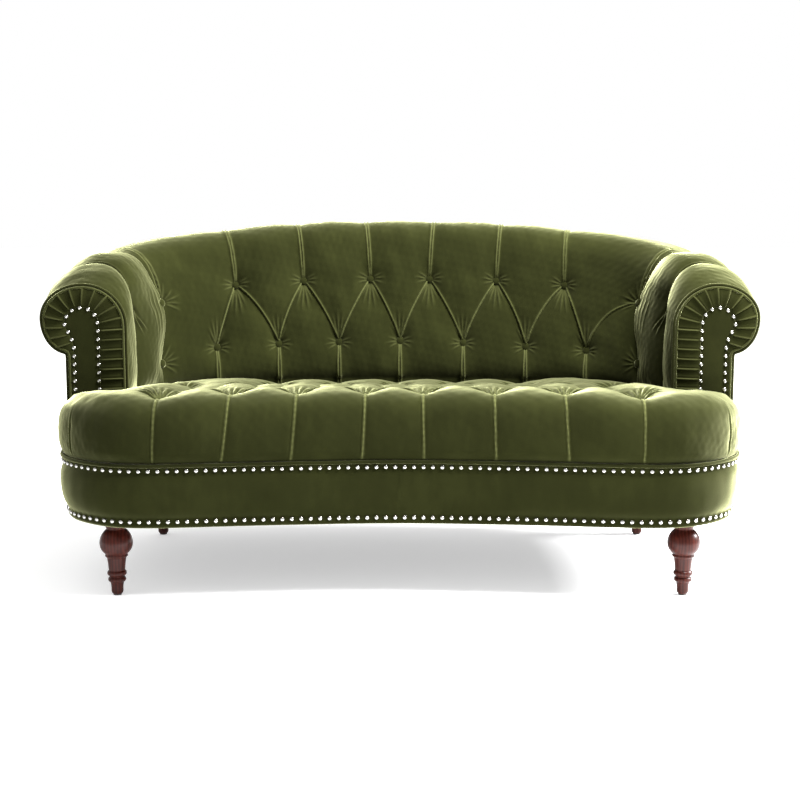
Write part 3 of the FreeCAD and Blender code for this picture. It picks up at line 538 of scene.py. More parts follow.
for sg in (1, -1):
    ups = [face_cell(sg * u, z) for u, z in UP]
    los = [face_cell(sg * u, z) for u, z in LO[sg]]
    los[0] = (los[0][0], float(COL0))
    back_cells += ups + (los if sg == 1 else los[1:])
    # tucks from the upper buttons over the roll to the hem
    for (r, c), tc in zip(ups, TOPC[sg]):
        ct = col_of(sg * tc)
        pts = [(r, c), (r + 0.35 * (RIDGE - r), c + 0.30 * (ct - c)), (RIDGE, ct), (NR - 1, ct)]
        fld.line(pts, lambda e0, e1, t: -1.0 - (PULL - 1.0) * np.exp(-e0 / 26.0) - 2.0 * sstep(60, 150, e0))
        fld.fold(pts, tuck(4.0, 0.5, 3.1), reach=14, painted_highlight=painted_highlight_line(3.1, 0.36, 1.5, pair=True))
    # diagonals of the diamonds
    pairs = [(ups[0], los[0], 0.0), (ups[0], los[1], 0.0), (ups[1], los[1], 0.0), (ups[1], los[2], 0.0),
             (ups[2], los[2], 0.0), (ups[2], los[3], 0.0)]
    bows = [0.03, -0.03, 0.03, -0.05, 0.05, -0.03]
    for (p, q, _), bw in zip(pairs, bows):
        pts = curved(p, q, sg * bw)
        # keep the raised lip on the upper side of the fold
        if sg * (q[1] - p[1]) < 0:
            pts = pts[::-1] if sg > 0 else pts
        else:
            pts = pts if sg > 0 else pts
        if pts[0][1] > pts[-1][1]:
            pts = pts[::-1]
        fld.line(pts, to_button(1.0))
        fld.fold(pts, knife(4.4, 1.5), reach=14, painted_highlight=painted_highlight_line(1.8, 0.36))
    # pleat from the corner button to the last lower button, on the right only
    cs = col_of(sg * C_SEAM)
    pts = curved((row_at(cs, 624), cs), los[3], sg * 0.10)
    if pts[0][1] > pts[-1][1]:
        pts = pts[::-1]
    if sg > 0:
        fld.line(pts, to_button(-4.0, 26.0))
        fld.fold(pts, knife(3.0, 1.0, 24.0), reach=14, painted_highlight=painted_highlight_line(1.8, 0.34, 1.7, 30.0))
    # double tucks from the lower buttons into the seat
    for (r, c) in (los if sg == 1 else los[1:]):
        pts = [(r, c), (0, c)]
        fld.line(pts, lambda e0, e1, t: -1.0 - (PULL - 1.0) * np.exp(-e0 / 24.0))
        fld.fold(pts, tuck(4.2, 0.6, 3.4), reach=14, painted_highlight=painted_highlight_line(3.4, 0.40, 1.5, pair=True))
    # seam between back and arm: hem, ridge, corner buttons, seat
    cs = col_of(sg * C_SEAM)
    r_uc, r_lc = row_at(cs, 624), row_at(cs, 474)
    back_cells += [(r_uc, cs), (r_lc, cs)]
    pts = [(NR - 1, cs), (RIDGE, cs), (r_uc, cs)]
    fld.line(pts, lambda e0, e1, t: -7.0 - 3.0 * np.exp(-e1 / 30.0))
    pts = [(r_uc, cs), (r_lc, cs)]
    fld.line(pts, lambda e0, e1, t: -8.0 - 4.0 * np.exp(-e0 / 22.0) - 4.0 * np.exp(-e1 / 22.0))
    pts = [(r_lc, cs), (0, cs)]
    fld.line(pts, lambda e0, e1, t: -8.0 - 4.0 * np.exp(-e0 / 24.0))
    # narrow pleat behind it on the roll
    c3 = col_of(sg * 3.98)
    pts = [(r_uc, cs), (r_uc + 0.45 * (RIDGE - r_uc), cs + 0.62 * (c3 - cs)), (RIDGE, c3), (NR - 1, c3)]
    fld.line(pts, lambda e0, e1, t: -3.5 - (PULL - 3.5) * np.exp(-e0 / 34.0))
    fld.fold(pts, tuck(2.4, 3.0, 4.0), reach=14, painted_highlight=painted_highlight_line(4.0, 0.3, pair=True))
    # channel down the inside of the arm
    ca = col_of(sg * C_ARM)
    r_a1, r_a2 = row_at(ca, 629), row_at(ca, 474)
    arm_cells += [(r_a1, ca), (r_a2, ca)]
    pts = [(NR - 1, ca), (RIDGE, ca), (r_a1, ca)]
    fld.line(pts, lambda e0, e1, t: -9.0 - 5.0 * sstep(60, 200, e0) - 13.0 * np.exp(-e1 / 30.0))
    fld.fold(pts, lambda d, e0, e1: sstep(0, 10, e0) * sstep(0, 30, e1) * (-4.5 * bump(d, 2.4) + 2.0 * bump(np.abs(d) - 5.2, 2.2)), reach=14)
    pts = [(r_a1, ca), (r_a2, ca)]
    fld.line(pts, to_button(17.0, 26.0))
    fld.fold(pts, lambda d, e0, e1: -2.5 * bump(d, 2.4), reach=10)
    pts = [(r_a2, ca), (0, ca)]
    fld.line(pts, lambda e0, e1, t: -11.0 - 13.0 * np.exp(-e0 / 24.0))
    fld.fold(pts, lambda d, e0, e1: -2.5 * bump(d, 2.4), reach=10)
    # slanting folds below the upper arm button, towards the back
    for k, (down, side, hgt) in enumerate([(92, 34, 3.2), (84, 50, 3.0), (70, 20, 2.2)]):
        pts = [(r_a1 - 4, ca - sg * 3), (r_a1 - down * 0.45 / 1.45, ca - sg * side * 0.35 / DC), (r_a1 - down / 1.45, ca - sg * side / DC)]
        fld.fold(pts, lambda d, e0, e1, hgt=hgt: hgt * sstep(0, 14, e0) * sstep(0, 45, e1) * (bump(d, 2.8) - 0.8 * bump(d + sg * 5.4, 2.8)), reach=18)
    # long soft folds on the arm beside the seam
    for k, (off, hgt) in enumerate([(10, 1.6), (19, 1.3), (28, 1.0)]):
        pts = [(r_uc + 40, cs + sg * off * 0.8), (r_uc + 8, cs + sg * off), (r_uc - 55, cs + sg * off * 0.75)]
        fld.fold(pts, lambda d, e0, e1, hgt=hgt: hgt * sstep(0, 50, e0) * sstep(0, 50, e1) * bump(d, 3.0), reach=12)

# the hem is pulled under, the lower edge is tucked behind the seat
fld.mask[-1, :] = True
fld.val[-1, :] = np.minimum(fld.val[-1, :], -1.0)
for r in range(0, 16):
    fld.mask[r, :] = True
    fld.val[r, :] = np.minimum(fld.val[r, :], -12.0)
fld.mask[:, 0] = fld.mask[:, -1] = True
fld.val[:, 0] = fld.val[:, -1] = 0.0

# gathers at the buttons
for i, (r, c) in enumerate(back_cells):
    z = SH[int(r), int(c), 2]
    rm = float(row_mm[int(r), int(c)])
    corner = abs(COLS[int(c)]) > 4
    if z > 600 and not corner:
        fan(fld, r, c, rm, DC, [180 - 21, 180 - 9, 180 + 4, 180 + 17, 180 + 27], [62, 88, 92, 78, 52], 2.7, 2.4)
        fan(fld, r, c, rm, DC, [62, 84, 108, -58, -82, -106], [34, 40, 36, 36, 42, 36], 1.7, 2.2)
    elif not corner:
        fan(fld, r, c, rm, DC, [-24, -13, -3, 8, 20], [58, 80, 90, 84, 60], 2.7, 2.4)
        fan(fld, r, c, rm, DC, [70, 96, 122, -70, -98, -122], [32, 36, 34, 32, 38, 34], 1.6, 2.2)
    else:
        s = -math.copysign(1, COLS[int(c)])
        fan(fld, r, c, rm, DC, [s * 24, s * 52, s * 78, s * 104, s * 126], [56, 44, 50, 48, 52], 1.8, 2.4)

h = membrane(fld.mask, fld.val, H0, (23.0 - 7.0 * sstep(NL - 40, NL + 30, ROW))[:, None])
h = blur(h, 1) + fld.add
Sx = np.concatenate([[0], np.cumsum(np.linalg.norm(np.diff(SH[110], axis=0), axis=1))])[None, :] * np.ones(fld.shape)
Sy = np.cumsum(row_mm, 0)
fade = sstep(0, 12, ROW)[:, None] * sstep(0, 12, NR - 1 - ROW)[:, None]
h = h + fade * (0.55 * noise2(Sx, Sy, 3, 75.0) + 0.22 * noise2(Sx, Sy, 4, 26.0))
SHELL = SH + SN * h[..., None]
SHELL_N = grid_normals(SHELL)


def shell_piece(name, ca, cb):
    i0, i1 = int(round(col_of(ca))), int(round(col_of(cb)))
    front = SHELL[:, i0:i1 + 1]
    rsel = np.unique(np.append(np.arange(0, NR, 9), NR - 1))
    csel = np.unique(np.append(np.arange(i0, i1 + 1, 12), i1))
    depth = 40.0 - 35.0 * sstep(RIDGE + NO * 0.3, NR - 6, ROW)
    back = (SH - SN * depth[:, None, None])[np.ix_(rsel, csel)]
    return closed_pad(name, front, back, fld.painted_highlight[:, i0:i1 + 1])


# ---------------------------------------------------------------- seat pad
def chaikin(p, rounds):
    for _ in range(rounds):
        q = np.roll(p, -1, 0)
        p = np.stack([p * 0.75 + q * 0.25, p * 0.25 + q * 0.75], 1).reshape(-1, 2)
    return p


rh = BASE_LINE[(BASE_LINE[:, 0] >= 0) & (BASE_LINE[:, 1] < -190)]
rh = rh[np.argsort(np.arctan2(rh[:, 0], -rh[:, 1]))][::40]
notch = np.array([(767.5, -180), (768.5, -160), (766, -139), (745, -133.5), (715, -133.5),
                  (685, -133.5), (660, -133.5), (633, -133.5), (632, -108)], float)
ins = []
for j in range(20, -1, -1):
    u = 7.4 * j / 20.0
    i0, o0 = np.array([IX(u), IY(u)]), np.array([OX(u), OY(u)])
    d = (o0 - i0) / np.linalg.norm(o0 - i0)
    ins.append(i0 - d * (2.6 + 4.4 * float(sstep(5.6, 7.2, u))))
right = np.vstack([rh, notch, np.array(ins)])
left = (right * [-1, 1])[::-1]
left = left[left[:, 0] < -1.0]
ring = np.vstack([right, left])
ring = ring[np.linalg.norm(ring - np.roll(ring, 1, 0), axis=1) > 1.0]
ring = resample(chaikin(ring, 3), count=2400, closed=True)
# finer steps along the front than along the back
rs = arc_len(np.vstack([ring, ring[:1]]))
mid = (ring + np.roll(ring, -1, 0)) / 2
dens = np.where(mid[:, 1] < -125, 1 / 2.3, 1 / 4.2)
cum = np.concatenate([[0], np.cumsum(dens * np.diff(rs))])
n_ring = int(cum[-1])
sel = np.interp(np.linspace(0, cum[-1], n_ring + 1)[:-1], cum, rs)
SR = np.stack([np.interp(sel, rs, np.append(ring[:, k], ring[0, k])) for k in (0, 1)], 1)
SRN = ring_normals(SR)
for _ in range(6):
    SRN = unit(SRN + 0.5 * (np.roll(SRN, 1, 0) + np.roll(SRN, -1, 0)))

FRONT_W = (1.0 - sstep(-178, -140, SR[:, 1]))
WALL = np.array([(314, 8.0), (322, 11.5), (332, 13.0), (365, 14.5), (400, 11.0), (430, 0.5), (449, -20.0), (460, -48.0), (464, -85.0)])
REAR = np.array([(314, 0.0), (322, 0.0), (332, 0.0), (365, 0.0), (400, -1.0), (427, -4.0), (445, -13.0), (458, -34.0), (464, -85.0)])
NW, NTOP = 92, 104
ws = arc_len(WALL)
wz, wo = nspline(ws, WALL[:, 0]), nspline(ws, WALL[:, 1])
rz, ro = nspline(ws, REAR[:, 0]), nspline(ws, REAR[:, 1])
tw = np.linspace(0, ws[-1], NW)
sc = band_scale(SR)
w_in = nspline(ws, [0.55, 0.8, 0.9, 1.0, 0.85, 0.55, 0.28, 0.08, 0.0])
# the tight corner beside the arm front turns in less, so that it doesn't fold over
k_in = 1 - 0.8 * bump(np.hypot(np.abs(SR[:, 0]) - 764.0, SR[:, 1] + 140.0), 58.0)
seatP = np.zeros((NW + NTOP, n_ring, 3))
seatD = np.zeros((NW + NTOP, n_ring, 2))      # unrolled place
for r in range(NW):
    of = float(wo(tw[r])) - 14.5 * (1 - sc) * float(w_in(tw[r]))
    off = of * FRONT_W + float(ro(tw[r])) * (1 - FRONT_W)
    off = np.where(off < 0, off * k_in, off)
    z = float(wz(tw[r])) * FRONT_W + float(rz(tw[r])) * (1 - FRONT_W)
    seatP[r] = np.column_stack([SR + SRN * off[:, None], z])
    flat_off = -85.0 + ws[-1] - tw[r]
    seatD[r] = SR + SRN * (flat_off * (k_in[:, None] if flat_off < 0 else 1.0))
spine = np.column_stack([np.clip(SR[:, 0] * 0.72, -450, 450), np.full(n_ring, -200.0)])
rim = seatP[NW - 1, :, :2]
for r in range(NTOP):
    t = (r + 1) / NTOP
    q = rim * (1 - t) + spine * t
    seatP[NW + r] = np.column_stack([q, np.full(n_ring, 464.0)])
    seatD[NW + r] = q
ax, ay = np.abs(seatP[..., 0]), seatP[..., 1]
fall = np.interp(ay, [-300, -230, -160, -100, 0, 100, 180], [3, 4, 0, -6, -18, -30, -35])
fall = fall - 9.0 * sstep(380, 560, ax) - sstep(540, 660, ax) * np.interp(ay, [-340, -300, -250, -150], [1, 6, 14, 26])
seatP[..., 2] += np.clip((seatP[..., 2] - 330) / 134, 0, 1) * fall
seatN = -grid_normals(seatP, wrap_c=True)
if seatN[NW + 20, 0, 2] < 0:
    seatN = -seatN
w_up = sstep(NW - 14, NW + 12, np.arange(NW + NTOP))[:, None, None]
seatN = unit(seatN * (1 - w_up) + np.array([0.0, 0.0, 1.0]) * w_up)
# height field over the unrolled seat
SD = 2.5
sx = np.arange(-920, 921, SD)
sy = np.arange(-545, 262, SD)
DX, DY = np.meshgrid(sx, sy)
sf = Field(np.stack([DX, DY, np.zeros_like(DX)], -1))


def seat_cell(x, y):
    return ((y - sy[0]) / SD, (x - sx[0]) / SD)


ROWS = {-1: [[(77, -262), (229, -272), (376, -284), (534, -300)],
             [(12, -132), (152, -132), (302, -134), (452, -140)],
             [(77, 0), (226, 0), (376, -4), (520, -14)],
             [(8, 120), (152, 120), (302, 108)]],
        1: [[(52, -262), (212, -272), (367, -284), (536, -300)],
            [(-12, -132), (132, -132), (290, -134), (452, -140)],
            [(58, 0), (214, 0), (370, -4), (520, -14)],
            [(-8, 120), (140, 120), (296, 108)]]}
SEAT_PULL = 34.0
FRONT_PULL = 44.0


def s_line(base, reach=34.0, both=True):
    def f(e0, e1, t):
        v = -base - (SEAT_PULL - base) * np.exp(-e0 / reach)
        if both:
            v = v - (SEAT_PULL - base) * np.exp(-e1 / reach)
        return v
    return f


seat_dips = []
for sg in (1, -1):
    rows = [[(sg * x, y) for x, y in row] for row in ROWS[sg]]
    for row in rows:
        seat_dips += [p for p in row if sg == 1 or abs(p[0]) > 20]
    links = [(rows[0][i], rows[1][i]) for i in range(4)] + [(rows[0][i], rows[1][i + 1]) for i in range(3)]
    links += [(rows[2][i], rows[1][i]) for i in range(4)] + [(rows[2][i], rows[1][i + 1]) for i in range(3)]
    links += [(rows[2][0], rows[3][0]), (rows[2][0], rows[3][1]), (rows[2][1], rows[3][1]), (rows[2][1], rows[3][2]),
              (rows[2][2], rows[3][2])]
    for p, q in links:
        pts = [seat_cell(*p), seat_cell(*q)]
        if pts[0][1] > pts[1][1]:
            pts = pts[::-1]
        sf.line(pts, s_line(13.0))
        sf.fold(pts, knife(3.0, 2.0), reach=14, painted_highlight=painted_highlight_line(1.8, 0.22))
    # pleats from the front row down to the piping
    for x, y in rows[0]:
        k = int(np.argmin((SR[:, 0] - x * 1.0) ** 2 + (SR[:, 1] + 370) ** 2))
        n = SRN[k]
        foot = SR[k] + n * 126.0
        foot[0] = x if sg < 0 else x - min(11.0, 0.06 * x)
        pts = [seat_cell(x, y), seat_cell(*(np.array([x, y]) * 0.55 + foot * 0.45)), seat_cell(*foot)]
        sf.line(pts, lambda e0, e1, t: 1.5 - (FRONT_PULL + 1.5) * np.exp(-e0 / 30.0))
        # bright painted highlight along each front pleat
        sf.fold(pts, lambda d, e0, e1: sstep(2, 16, e0) * (3.6 * bump(d, 1.7) - 1.3 * bump(np.abs(d) - 4.6, 2.2)), reach=14, painted_highlight=painted_highlight_line(0.0, 0.8, 1.35, 6.0))
    # folds at the ends of the front lobes
    k = int(np.argmin((SR[:, 0] - sg * 722.0) ** 2 + (SR[:, 1] + 318.0) ** 2))
    pts = [seat_cell(*(SR[k] - SRN[k] * 6.0)), seat_cell(*(SR[k] + SRN[k] * 126.0))]
    sf.line(pts, lambda e0, e1, t: 8.0 - 6.5 * sstep(0, 90, e0))
    sf.fold(pts, lambda d, e0, e1: sstep(10, 60, e0) * (2.8 * bump(d, 2.2) - 1.6 * bump(d + sg * 5.5, 2.6)), reach=14, painted_highlight=painted_highlight_line(0.0, 0.35, 1.8, 50.0))
    # rear buttons run into the crevice
    for x, y in rows[3]:
        pts = [seat_cell(x, y), seat_cell(x * 1.03, y + 130)]
        sf.line(pts, s_line(9.0, both=False))
for x, y in seat_dips:
    r, c = seat_cell(x, y)
    front = y < -240
    if front:
        fan(sf, r, c, SD, SD, [-62, -44, -27, -11, 4, 19, 35, 52, 68], [70, 82, 84, 78, 80, 84, 86, 80, 64], 6.0, 3.0, 8.0, 0.24)
        fan(sf, r, c, SD, SD, [118, 150, 205, 238], [44, 46, 46, 44], 1.6, 3.0, 8.0)
    else:
        fan(sf, r, c, SD, SD, list(range(15, 360, 36)), [58] * 10, 2.8, 3.2, 8.0)

sH0 = 9.0 - 7.0 * sstep(680, 770, np.abs(DX)) + 5.0 * bump(DY + 205.0, 60.0)
sh = membrane(sf.mask, sf.val, sH0, 17.0)
sh = blur(sh, 1) + sf.add
sh = sh + 0.6 * noise2(DX, DY, 11, 80.0) + 0.22 * noise2(DX, DY, 12, 28.0)
hh = bilinear(sh, (seatD[..., 1] - sy[0]) / SD, (seatD[..., 0] - sx[0]) / SD)
# painted highlight of the seat's fold crests, carried onto the seat mesh
seat_painted_highlight = bilinear(sf.painted_highlight, (seatD[..., 1] - sy[0]) / SD, (seatD[..., 0] - sx[0]) / SD)
low = sstep(0, 26, tw)
hh[:NW] *= low[:, None]
# the pad is held flat where it meets the arms and the back
hold = np.ones((NW + NTOP, n_ring))
hold[:NW] = FRONT_W[None, :] + (1 - FRONT_W[None, :]) * sstep(0.35, 1.0, tw / tw[-1])[:, None]
hh *= hold
SEATV = seatP + seatN * hh[..., None]


def seat_piece(name):
    nr, nc = SEATV.shape[:2]
    verts = SEATV.reshape(-1, 3)
    q = grid_faces(nr, nc, wrap_c=True)
    # flat underside: an inner ring and a middle line
    k = np.column_stack([SR * 0.0 + spine, np.full(n_ring, 314.0)])
    verts = np.vstack([verts, k])
    bq = np.stack([np.arange(nc), nr * nc + np.arange(nc), nr * nc + (np.arange(nc) + 1) % nc, (np.arange(nc) + 1) % nc], -1)
    return make_mesh(name, verts, np.vstack([q, bq]), painted_highlight=np.concatenate([seat_painted_highlight.ravel(), np.zeros(n_ring)]))


# ---------------------------------------------------------------- base band and piping
BL = resample(BASE_LINE, step=2.6, closed=True)
BN = ring_normals(BL)
NAIL_PITCH = 20.8


def front_run(z, extra):
    """Nail places along the band, from the rear left round the front to the rear right."""
    p = band_outline(BASE_LINE, ring_normals(BASE_LINE), z, extra)
    i0 = int(np.argmin((p[:, 0] + 738) ** 2 + (p[:, 1] - 243) ** 2))
    p = np.roll(p, -i0, 0)
    i1 = int(np.argmin((p[:, 0] - 738) ** 2 + (p[:, 1] - 243) ** 2))
    if p[5, 1] > p[0, 1]:
        p = np.roll(p[::-1], 1, 0)
        i1 = int(np.argmin((p[:, 0] - 738) ** 2 + (p[:, 1] - 243) ** 2))
    p = p[:i1 + 1]
    s = arc_len(p)
    n = int(round(s[-1] / NAIL_PITCH))
    return resample(p, count=n + 1)


nail_sites = []
for z in (183.0, 297.5):
    q = front_run(z, 0.8)
    t = unit(np.gradient(q, axis=0))
    nrm = np.stack([t[:, 1], -t[:, 0], np.zeros(len(t))], -1)
    nail_sites.append((q, nrm))

bz = np.concatenate([np.linspace(168, 176, 6), np.linspace(178, 205, 14), np.linspace(209, 280, 19), np.linspace(283, 305, 12)])
bandP = np.stack([band_outline(BL, BN, z) for z in bz])
bandN = np.broadcast_to(np.column_stack([BN, np.zeros(len(BN))]), bandP.shape)
bd = np.zeros(bandP.shape[:2])
ring_s = np.concatenate([[0], np.cumsum(np.linalg.norm(np.diff(BL, axis=0), axis=1))])
for (q, _), zc in zip(nail_sites, (183.0, 297.5)):
    for p in q:
        dist = np.hypot(BL[:, 0] - p[0], BL[:, 1] - p[1])
        k = np.where(dist < 30)[0]
        w = np.exp(-(np.maximum(dist[k] - 6, 0) / 7.5) ** 2)
        bd[:, k] -= np.exp(-((bz - zc) / 10.0) ** 2)[:, None] * w[None, :] * 1.5
bd = np.maximum(bd, -2.0)
X = ring_s[None, :] * np.ones_like(bd)
Y = bz[:, None] * np.ones_like(bd)
bd += sstep(176, 215, bz)[:, None] * sstep(303, 280, bz)[:, None] * (1.1 * noise2(X, Y, 21, 190.0) + 0.35 * noise2(X, Y, 22, 60.0))
BAND = bandP + bandN * bd[..., None]
inner = [np.column_stack([BL - BN * 15.0, np.full(len(BL), z)]) for z in (304.0, 236.0, 169.5)]
band_all = np.concatenate([BAND, np.stack(inner)])


def tube_ring(name, path, r, closed=True, seg=12):
    """Round cord along a path."""
    n = len(path)
    if closed:
        t = unit(np.roll(path, -1, 0) - np.roll(path, 1, 0))
    else:
        t = unit(np.gradient(path, axis=0))
    up = np.array([0.0, 0.0, 1.0])
    if abs(t[:, 2]).max() > 0.9:
        up = np.array([0.0, 1.0, 0.0])
    e1 = unit(np.cross(t, up))
    e2 = np.cross(e1, t)
    a = np.linspace(0, 2 * math.pi, seg + 1)[:-1]
    V = path[:, None, :] + r * (np.cos(a)[None, :, None] * e1[:, None, :] + np.sin(a)[None, :, None] * e2[:, None, :])
    q = grid_faces(n, seg, wrap_r=closed, wrap_c=True)
    tris = None
    verts = V.reshape(-1, 3)
    if not closed:
        verts = np.vstack([verts, path[0], path[-1]])
        b = n * seg
        k = np.arange(seg)
        tris = np.vstack([np.stack([(k + 1) % seg, k, np.full(seg, b)], -1),
                          np.stack([(n - 1) * seg + k, (n - 1) * seg + (k + 1) % seg, np.full(seg, b + 1)], -1)])
    return make_mesh(name, verts, q, tris)


def lathe(profile, seg):
    """Vertices and faces of a turned shape about the Z axis; the profile starts
    and ends on the axis."""
    prof = np.asarray(profile, float)
    a = np.linspace(0, 2 * math.pi, seg + 1)[:-1]
    inner = prof[1:-1]
    V = np.stack([inner[:, None, 0] * np.cos(a)[None, :], inner[:, None, 0] * np.sin(a)[None, :],
                  inner[:, None, 1] * np.ones(seg)[None, :]], -1).reshape(-1, 3)
    V = np.vstack([V, [0, 0, prof[0, 1]], [0, 0, prof[-1, 1]]])
    n = len(inner)
    q = grid_faces(n, seg, wrap_c=True)
    k = np.arange(seg)
    b = n * seg
    t = np.vstack([np.stack([(k + 1) % seg, k, np.full(seg, b)], -1),
                   np.stack([(n - 1) * seg + k, (n - 1) * seg + (k + 1) % seg, np.full(seg, b + 1)], -1)])
    return V, q, t


def scatter(name, shape, sites, spin=0.0):
    """One mesh with a copy of the shape at each (point, direction)."""
    V0, q0, t0 = shape
    vs, qs, ts = [], [], []
    for i, (p, nrm) in enumerate(sites):
        nrm = np.asarray(nrm, float)
        nrm = nrm / np.linalg.norm(nrm)
        ref = np.array([0.0, 0.0, 1.0]) if abs(nrm[2]) < 0.9 else np.array([1.0, 0.0, 0.0])
        a = np.cross(ref, nrm)
        a /= np.linalg.norm(a)
        b = np.cross(nrm, a)
        ang = spin * i
        a, b = a * math.cos(ang) + b * math.sin(ang), b * math.cos(ang) - a * math.sin(ang)
        vs.append(V0[:, :1] * a + V0[:, 1:2] * b + V0[:, 2:] * nrm + np.asarray(p))
        qs.append(q0 + i * len(V0))
        ts.append(t0 + i * len(V0))
    return make_mesh(name, np.vstack(vs), np.vstack(qs), np.vstack(ts))


a = np.linspace(0, math.pi / 2, 9)
NAIL = lathe([(0, -0.5)] + [(4.6, -0.5), (4.7, 0.25)] + [(4.65 * math.cos(t), 0.45 + 3.1 * math.sin(t)) for t in a[:-1]] + [(0, 3.55)], 20)
BUTTON = lathe([(0, -3.0), (8.0, -3.0), (10.4, -1.6), (11.2, 0.6), (10.9, 2.6), (9.6, 4.4), (7.4, 5.8), (4.4, 6.6), (1.6, 6.9), (0, 6.95)], 28)


# ---------------------------------------------------------------- arm facings
def face_section(u):
    u = np.array([[float(u)]])
    i0 = np.array([float(IX(u)[0, 0]), float(IY(u)[0, 0])])
    T = float(np.hypot(OX(u) - IX(u), OY(u) - IY(u))[0, 0])
    zt, ai, bi, over, bo, bc = [float(f(u)[0, 0]) for f in (ZT, AI, BI, OVER, BO, BC)]
    z1, nt, no, ac = zt - bi, ai, T + over, over + 1.0
    ao = no - nt
    a = np.linspace(0, math.pi / 2, 40)
    pts = [np.column_stack([np.zeros(40), np.linspace(Z_LOW, z1, 40)])]
    pts.append(np.column_stack([nt - ai * np.cos(a), z1 + bi * np.sin(a)])[1:])
    pts.append(np.column_stack([nt + ao * np.sin(a), zt - bo + bo * np.cos(a)])[1:])
    pts.append(np.column_stack([no - ac + ac * np.cos(a), zt - bo - bc * np.sin(a)])[1:])
    return np.vstack(pts) + [642.0, 0.0]


FO = face_section(8.0)


def facing_outline(inset):
    t = unit(np.gradient(FO, axis=0))
    p = FO + np.column_stack([t[:, 1], -t[:, 0]]) * inset
    x_out = 778.0 - inset
    k = len(p) - 1
    for j in range(len(p) - 60, len(p)):
        if p[j, 1] < 600 and p[j, 0] < x_out:
            k = j
            break
    p = p[:k]
    z_end = p[-1, 1]
    return np.vstack([p, np.column_stack([np.full(30, x_out), np.linspace(z_end - 1.0, Z_LOW, 30)])])


def nail_arch(off):
    pts = [(705 - off, Z_LOW)] + [(705 - off, Z_LOW + (585 - Z_LOW) * j / 6.0) for j in range(1, 7)]
    for j in range(1, 15):
        t = math.pi - math.pi * j / 15.0 * 1.08
        pts.append((744 + (39 + off) * math.cos(t), 592 + (40 + off) * math.sin(t)))
    pts += [(769 + off, 563), (763 + off, 546), (762 + off, 528)]
    pts += [(762 + off, 528 + (Z_LOW - 528) * j / 5.0) for j in range(1, 6)]
    return np.array(pts, float)


def by_knots(line, knots, counts):
    """Points of a polyline, evenly spread between its points nearest to the knots."""
    s = arc_len(line)
    ks = [s[int(np.argmin(np.linalg.norm(line - np.array(k), axis=1)))] for k in knots]
    t = [np.linspace(a, b, c + 1)[:-1] for a, b, c in zip(ks, ks[1:], counts)]
    t = np.concatenate(t + [[ks[-1]]])
    return np.stack([np.interp(t, s, line[:, 0]), np.interp(t, s, line[:, 1])], 1)


outer_l = resample(facing_outline(1.2), step=1.0)
arch_l = resample(nail_arch(1.0), step=1.0)
COUNTS = [190, 60, 70, 74, 120]
OUTL = by_knots(outer_l, [(643, Z_LOW), (643, 592), (742, 683), (835, 604), (777, 529), (777, Z_LOW)], COUNTS)
ARCH = by_knots(arch_l, [(704, Z_LOW), (704, 588), (744, 633), (784, 598), (763, 531), (763, Z_LOW)], COUNTS)
na = len(OUTL)
nb = 26
tb = np.linspace(0, 1, nb)
FB = ARCH[None] * (1 - tb[:, None, None]) + OUTL[None] * tb[:, None, None]      # arch to edge
along = arc_len((ARCH + OUTL) / 2)
width = np.linalg.norm(OUTL - ARCH, axis=1)
pl = along / 23.0
ph = pl - np.floor(pl)
# knife pleats: a slow rise, a sharp crest and a drop
ridge = np.exp(-((ph - 0.5) / 0.05) ** 2) * 3.4 - 2.2 * np.exp(-((ph - 0.62) / 0.07) ** 2) + 1.1 * np.cos(2 * math.pi * (ph - 0.5))
k_id = np.floor(pl).astype(int)
rng = np.random.RandomState(5)
amp = rng.uniform(0.7, 1.2, k_id.max() + 2)[k_id]
swell = np.sin(math.pi * np.clip(tb, 0, 1)) ** 0.7
prof = 5.0 * swell[:, None] * np.clip(width / 45.0, 0.35, 1)[None, :]
fade_o = (0.25 + 0.75 * sstep(0.0, 0.18, tb)) * (1 - 0.6 * sstep(0.9, 1.0, tb))
prof = prof + (ridge * amp)[None, :] * fade_o[:, None] * np.clip(width / 40.0, 0.15, 1)[None, :]
border_y = -(123.0 + prof)
border_y[0] = -121.5
border_y[-1] = -121.5
# painted highlight along the crest of each pleat of the border
border_painted_highlight = (0.32 * amp * np.exp(-((ph - 0.5) / 0.055) ** 2))[None, :] * (fade_o * sstep(0.04, 0.2, tb))[:, None] * np.clip(width / 40.0, 0.15, 1)[None, :]


def border_piece(name, sg):
    front = np.stack([sg * FB[..., 0], border_y, FB[..., 1]], -1)
    rs_, cs_ = [0, nb // 2, nb - 1], np.unique(np.append(np.arange(0, na, 10), na - 1))
    back = np.stack([sg * FB[..., 0], np.full(FB.shape[:2], -114.0), FB[..., 1]], -1)[np.ix_(rs_, cs_)]
    if sg < 0:
        return closed_pad(name, front, back, border_painted_highlight)
    return closed_pad(name, front[:, ::-1], back[:, ::-1], border_painted_highlight[:, ::-1])


def panel_piece(name, sg):
    """Flat centre panel inside the nail arch, slightly padded."""
    a = by_knots(arch_l, [(704, Z_LOW), (704, 588), (744, 633)], [130, 50])
    b = by_knots(arch_l[::-1], [(763, Z_LOW), (763, 531), (784, 598), (744, 633)], [110, 40, 30])
    n = len(a)
    t = np.linspace(0, 1, 22)
    G = a[None] * (1 - t[:, None, None]) + b[None] * t[:, None, None]
    edge = np.minimum(np.linalg.norm(G - a[None], axis=-1), np.linalg.norm(G - b[None], axis=-1))
    y = -(121.4 + 2.4 * (1 - np.exp(-edge / 9.0)))
    y = y + 0.25 * noise2(G[..., 0], G[..., 1], 31, 60.0)
    front = np.stack([sg * G[..., 0], y, G[..., 1]], -1)
    back = np.stack([sg * G[..., 0], np.full(y.shape, -114.0), G[..., 1]], -1)[np.ix_([0, 10, 21], np.unique(np.append(np.arange(0, n, 12), n - 1)))]
    if sg > 0:
        return closed_pad(name, front, back)
    return closed_pad(name, front[::-1], back[::-1])


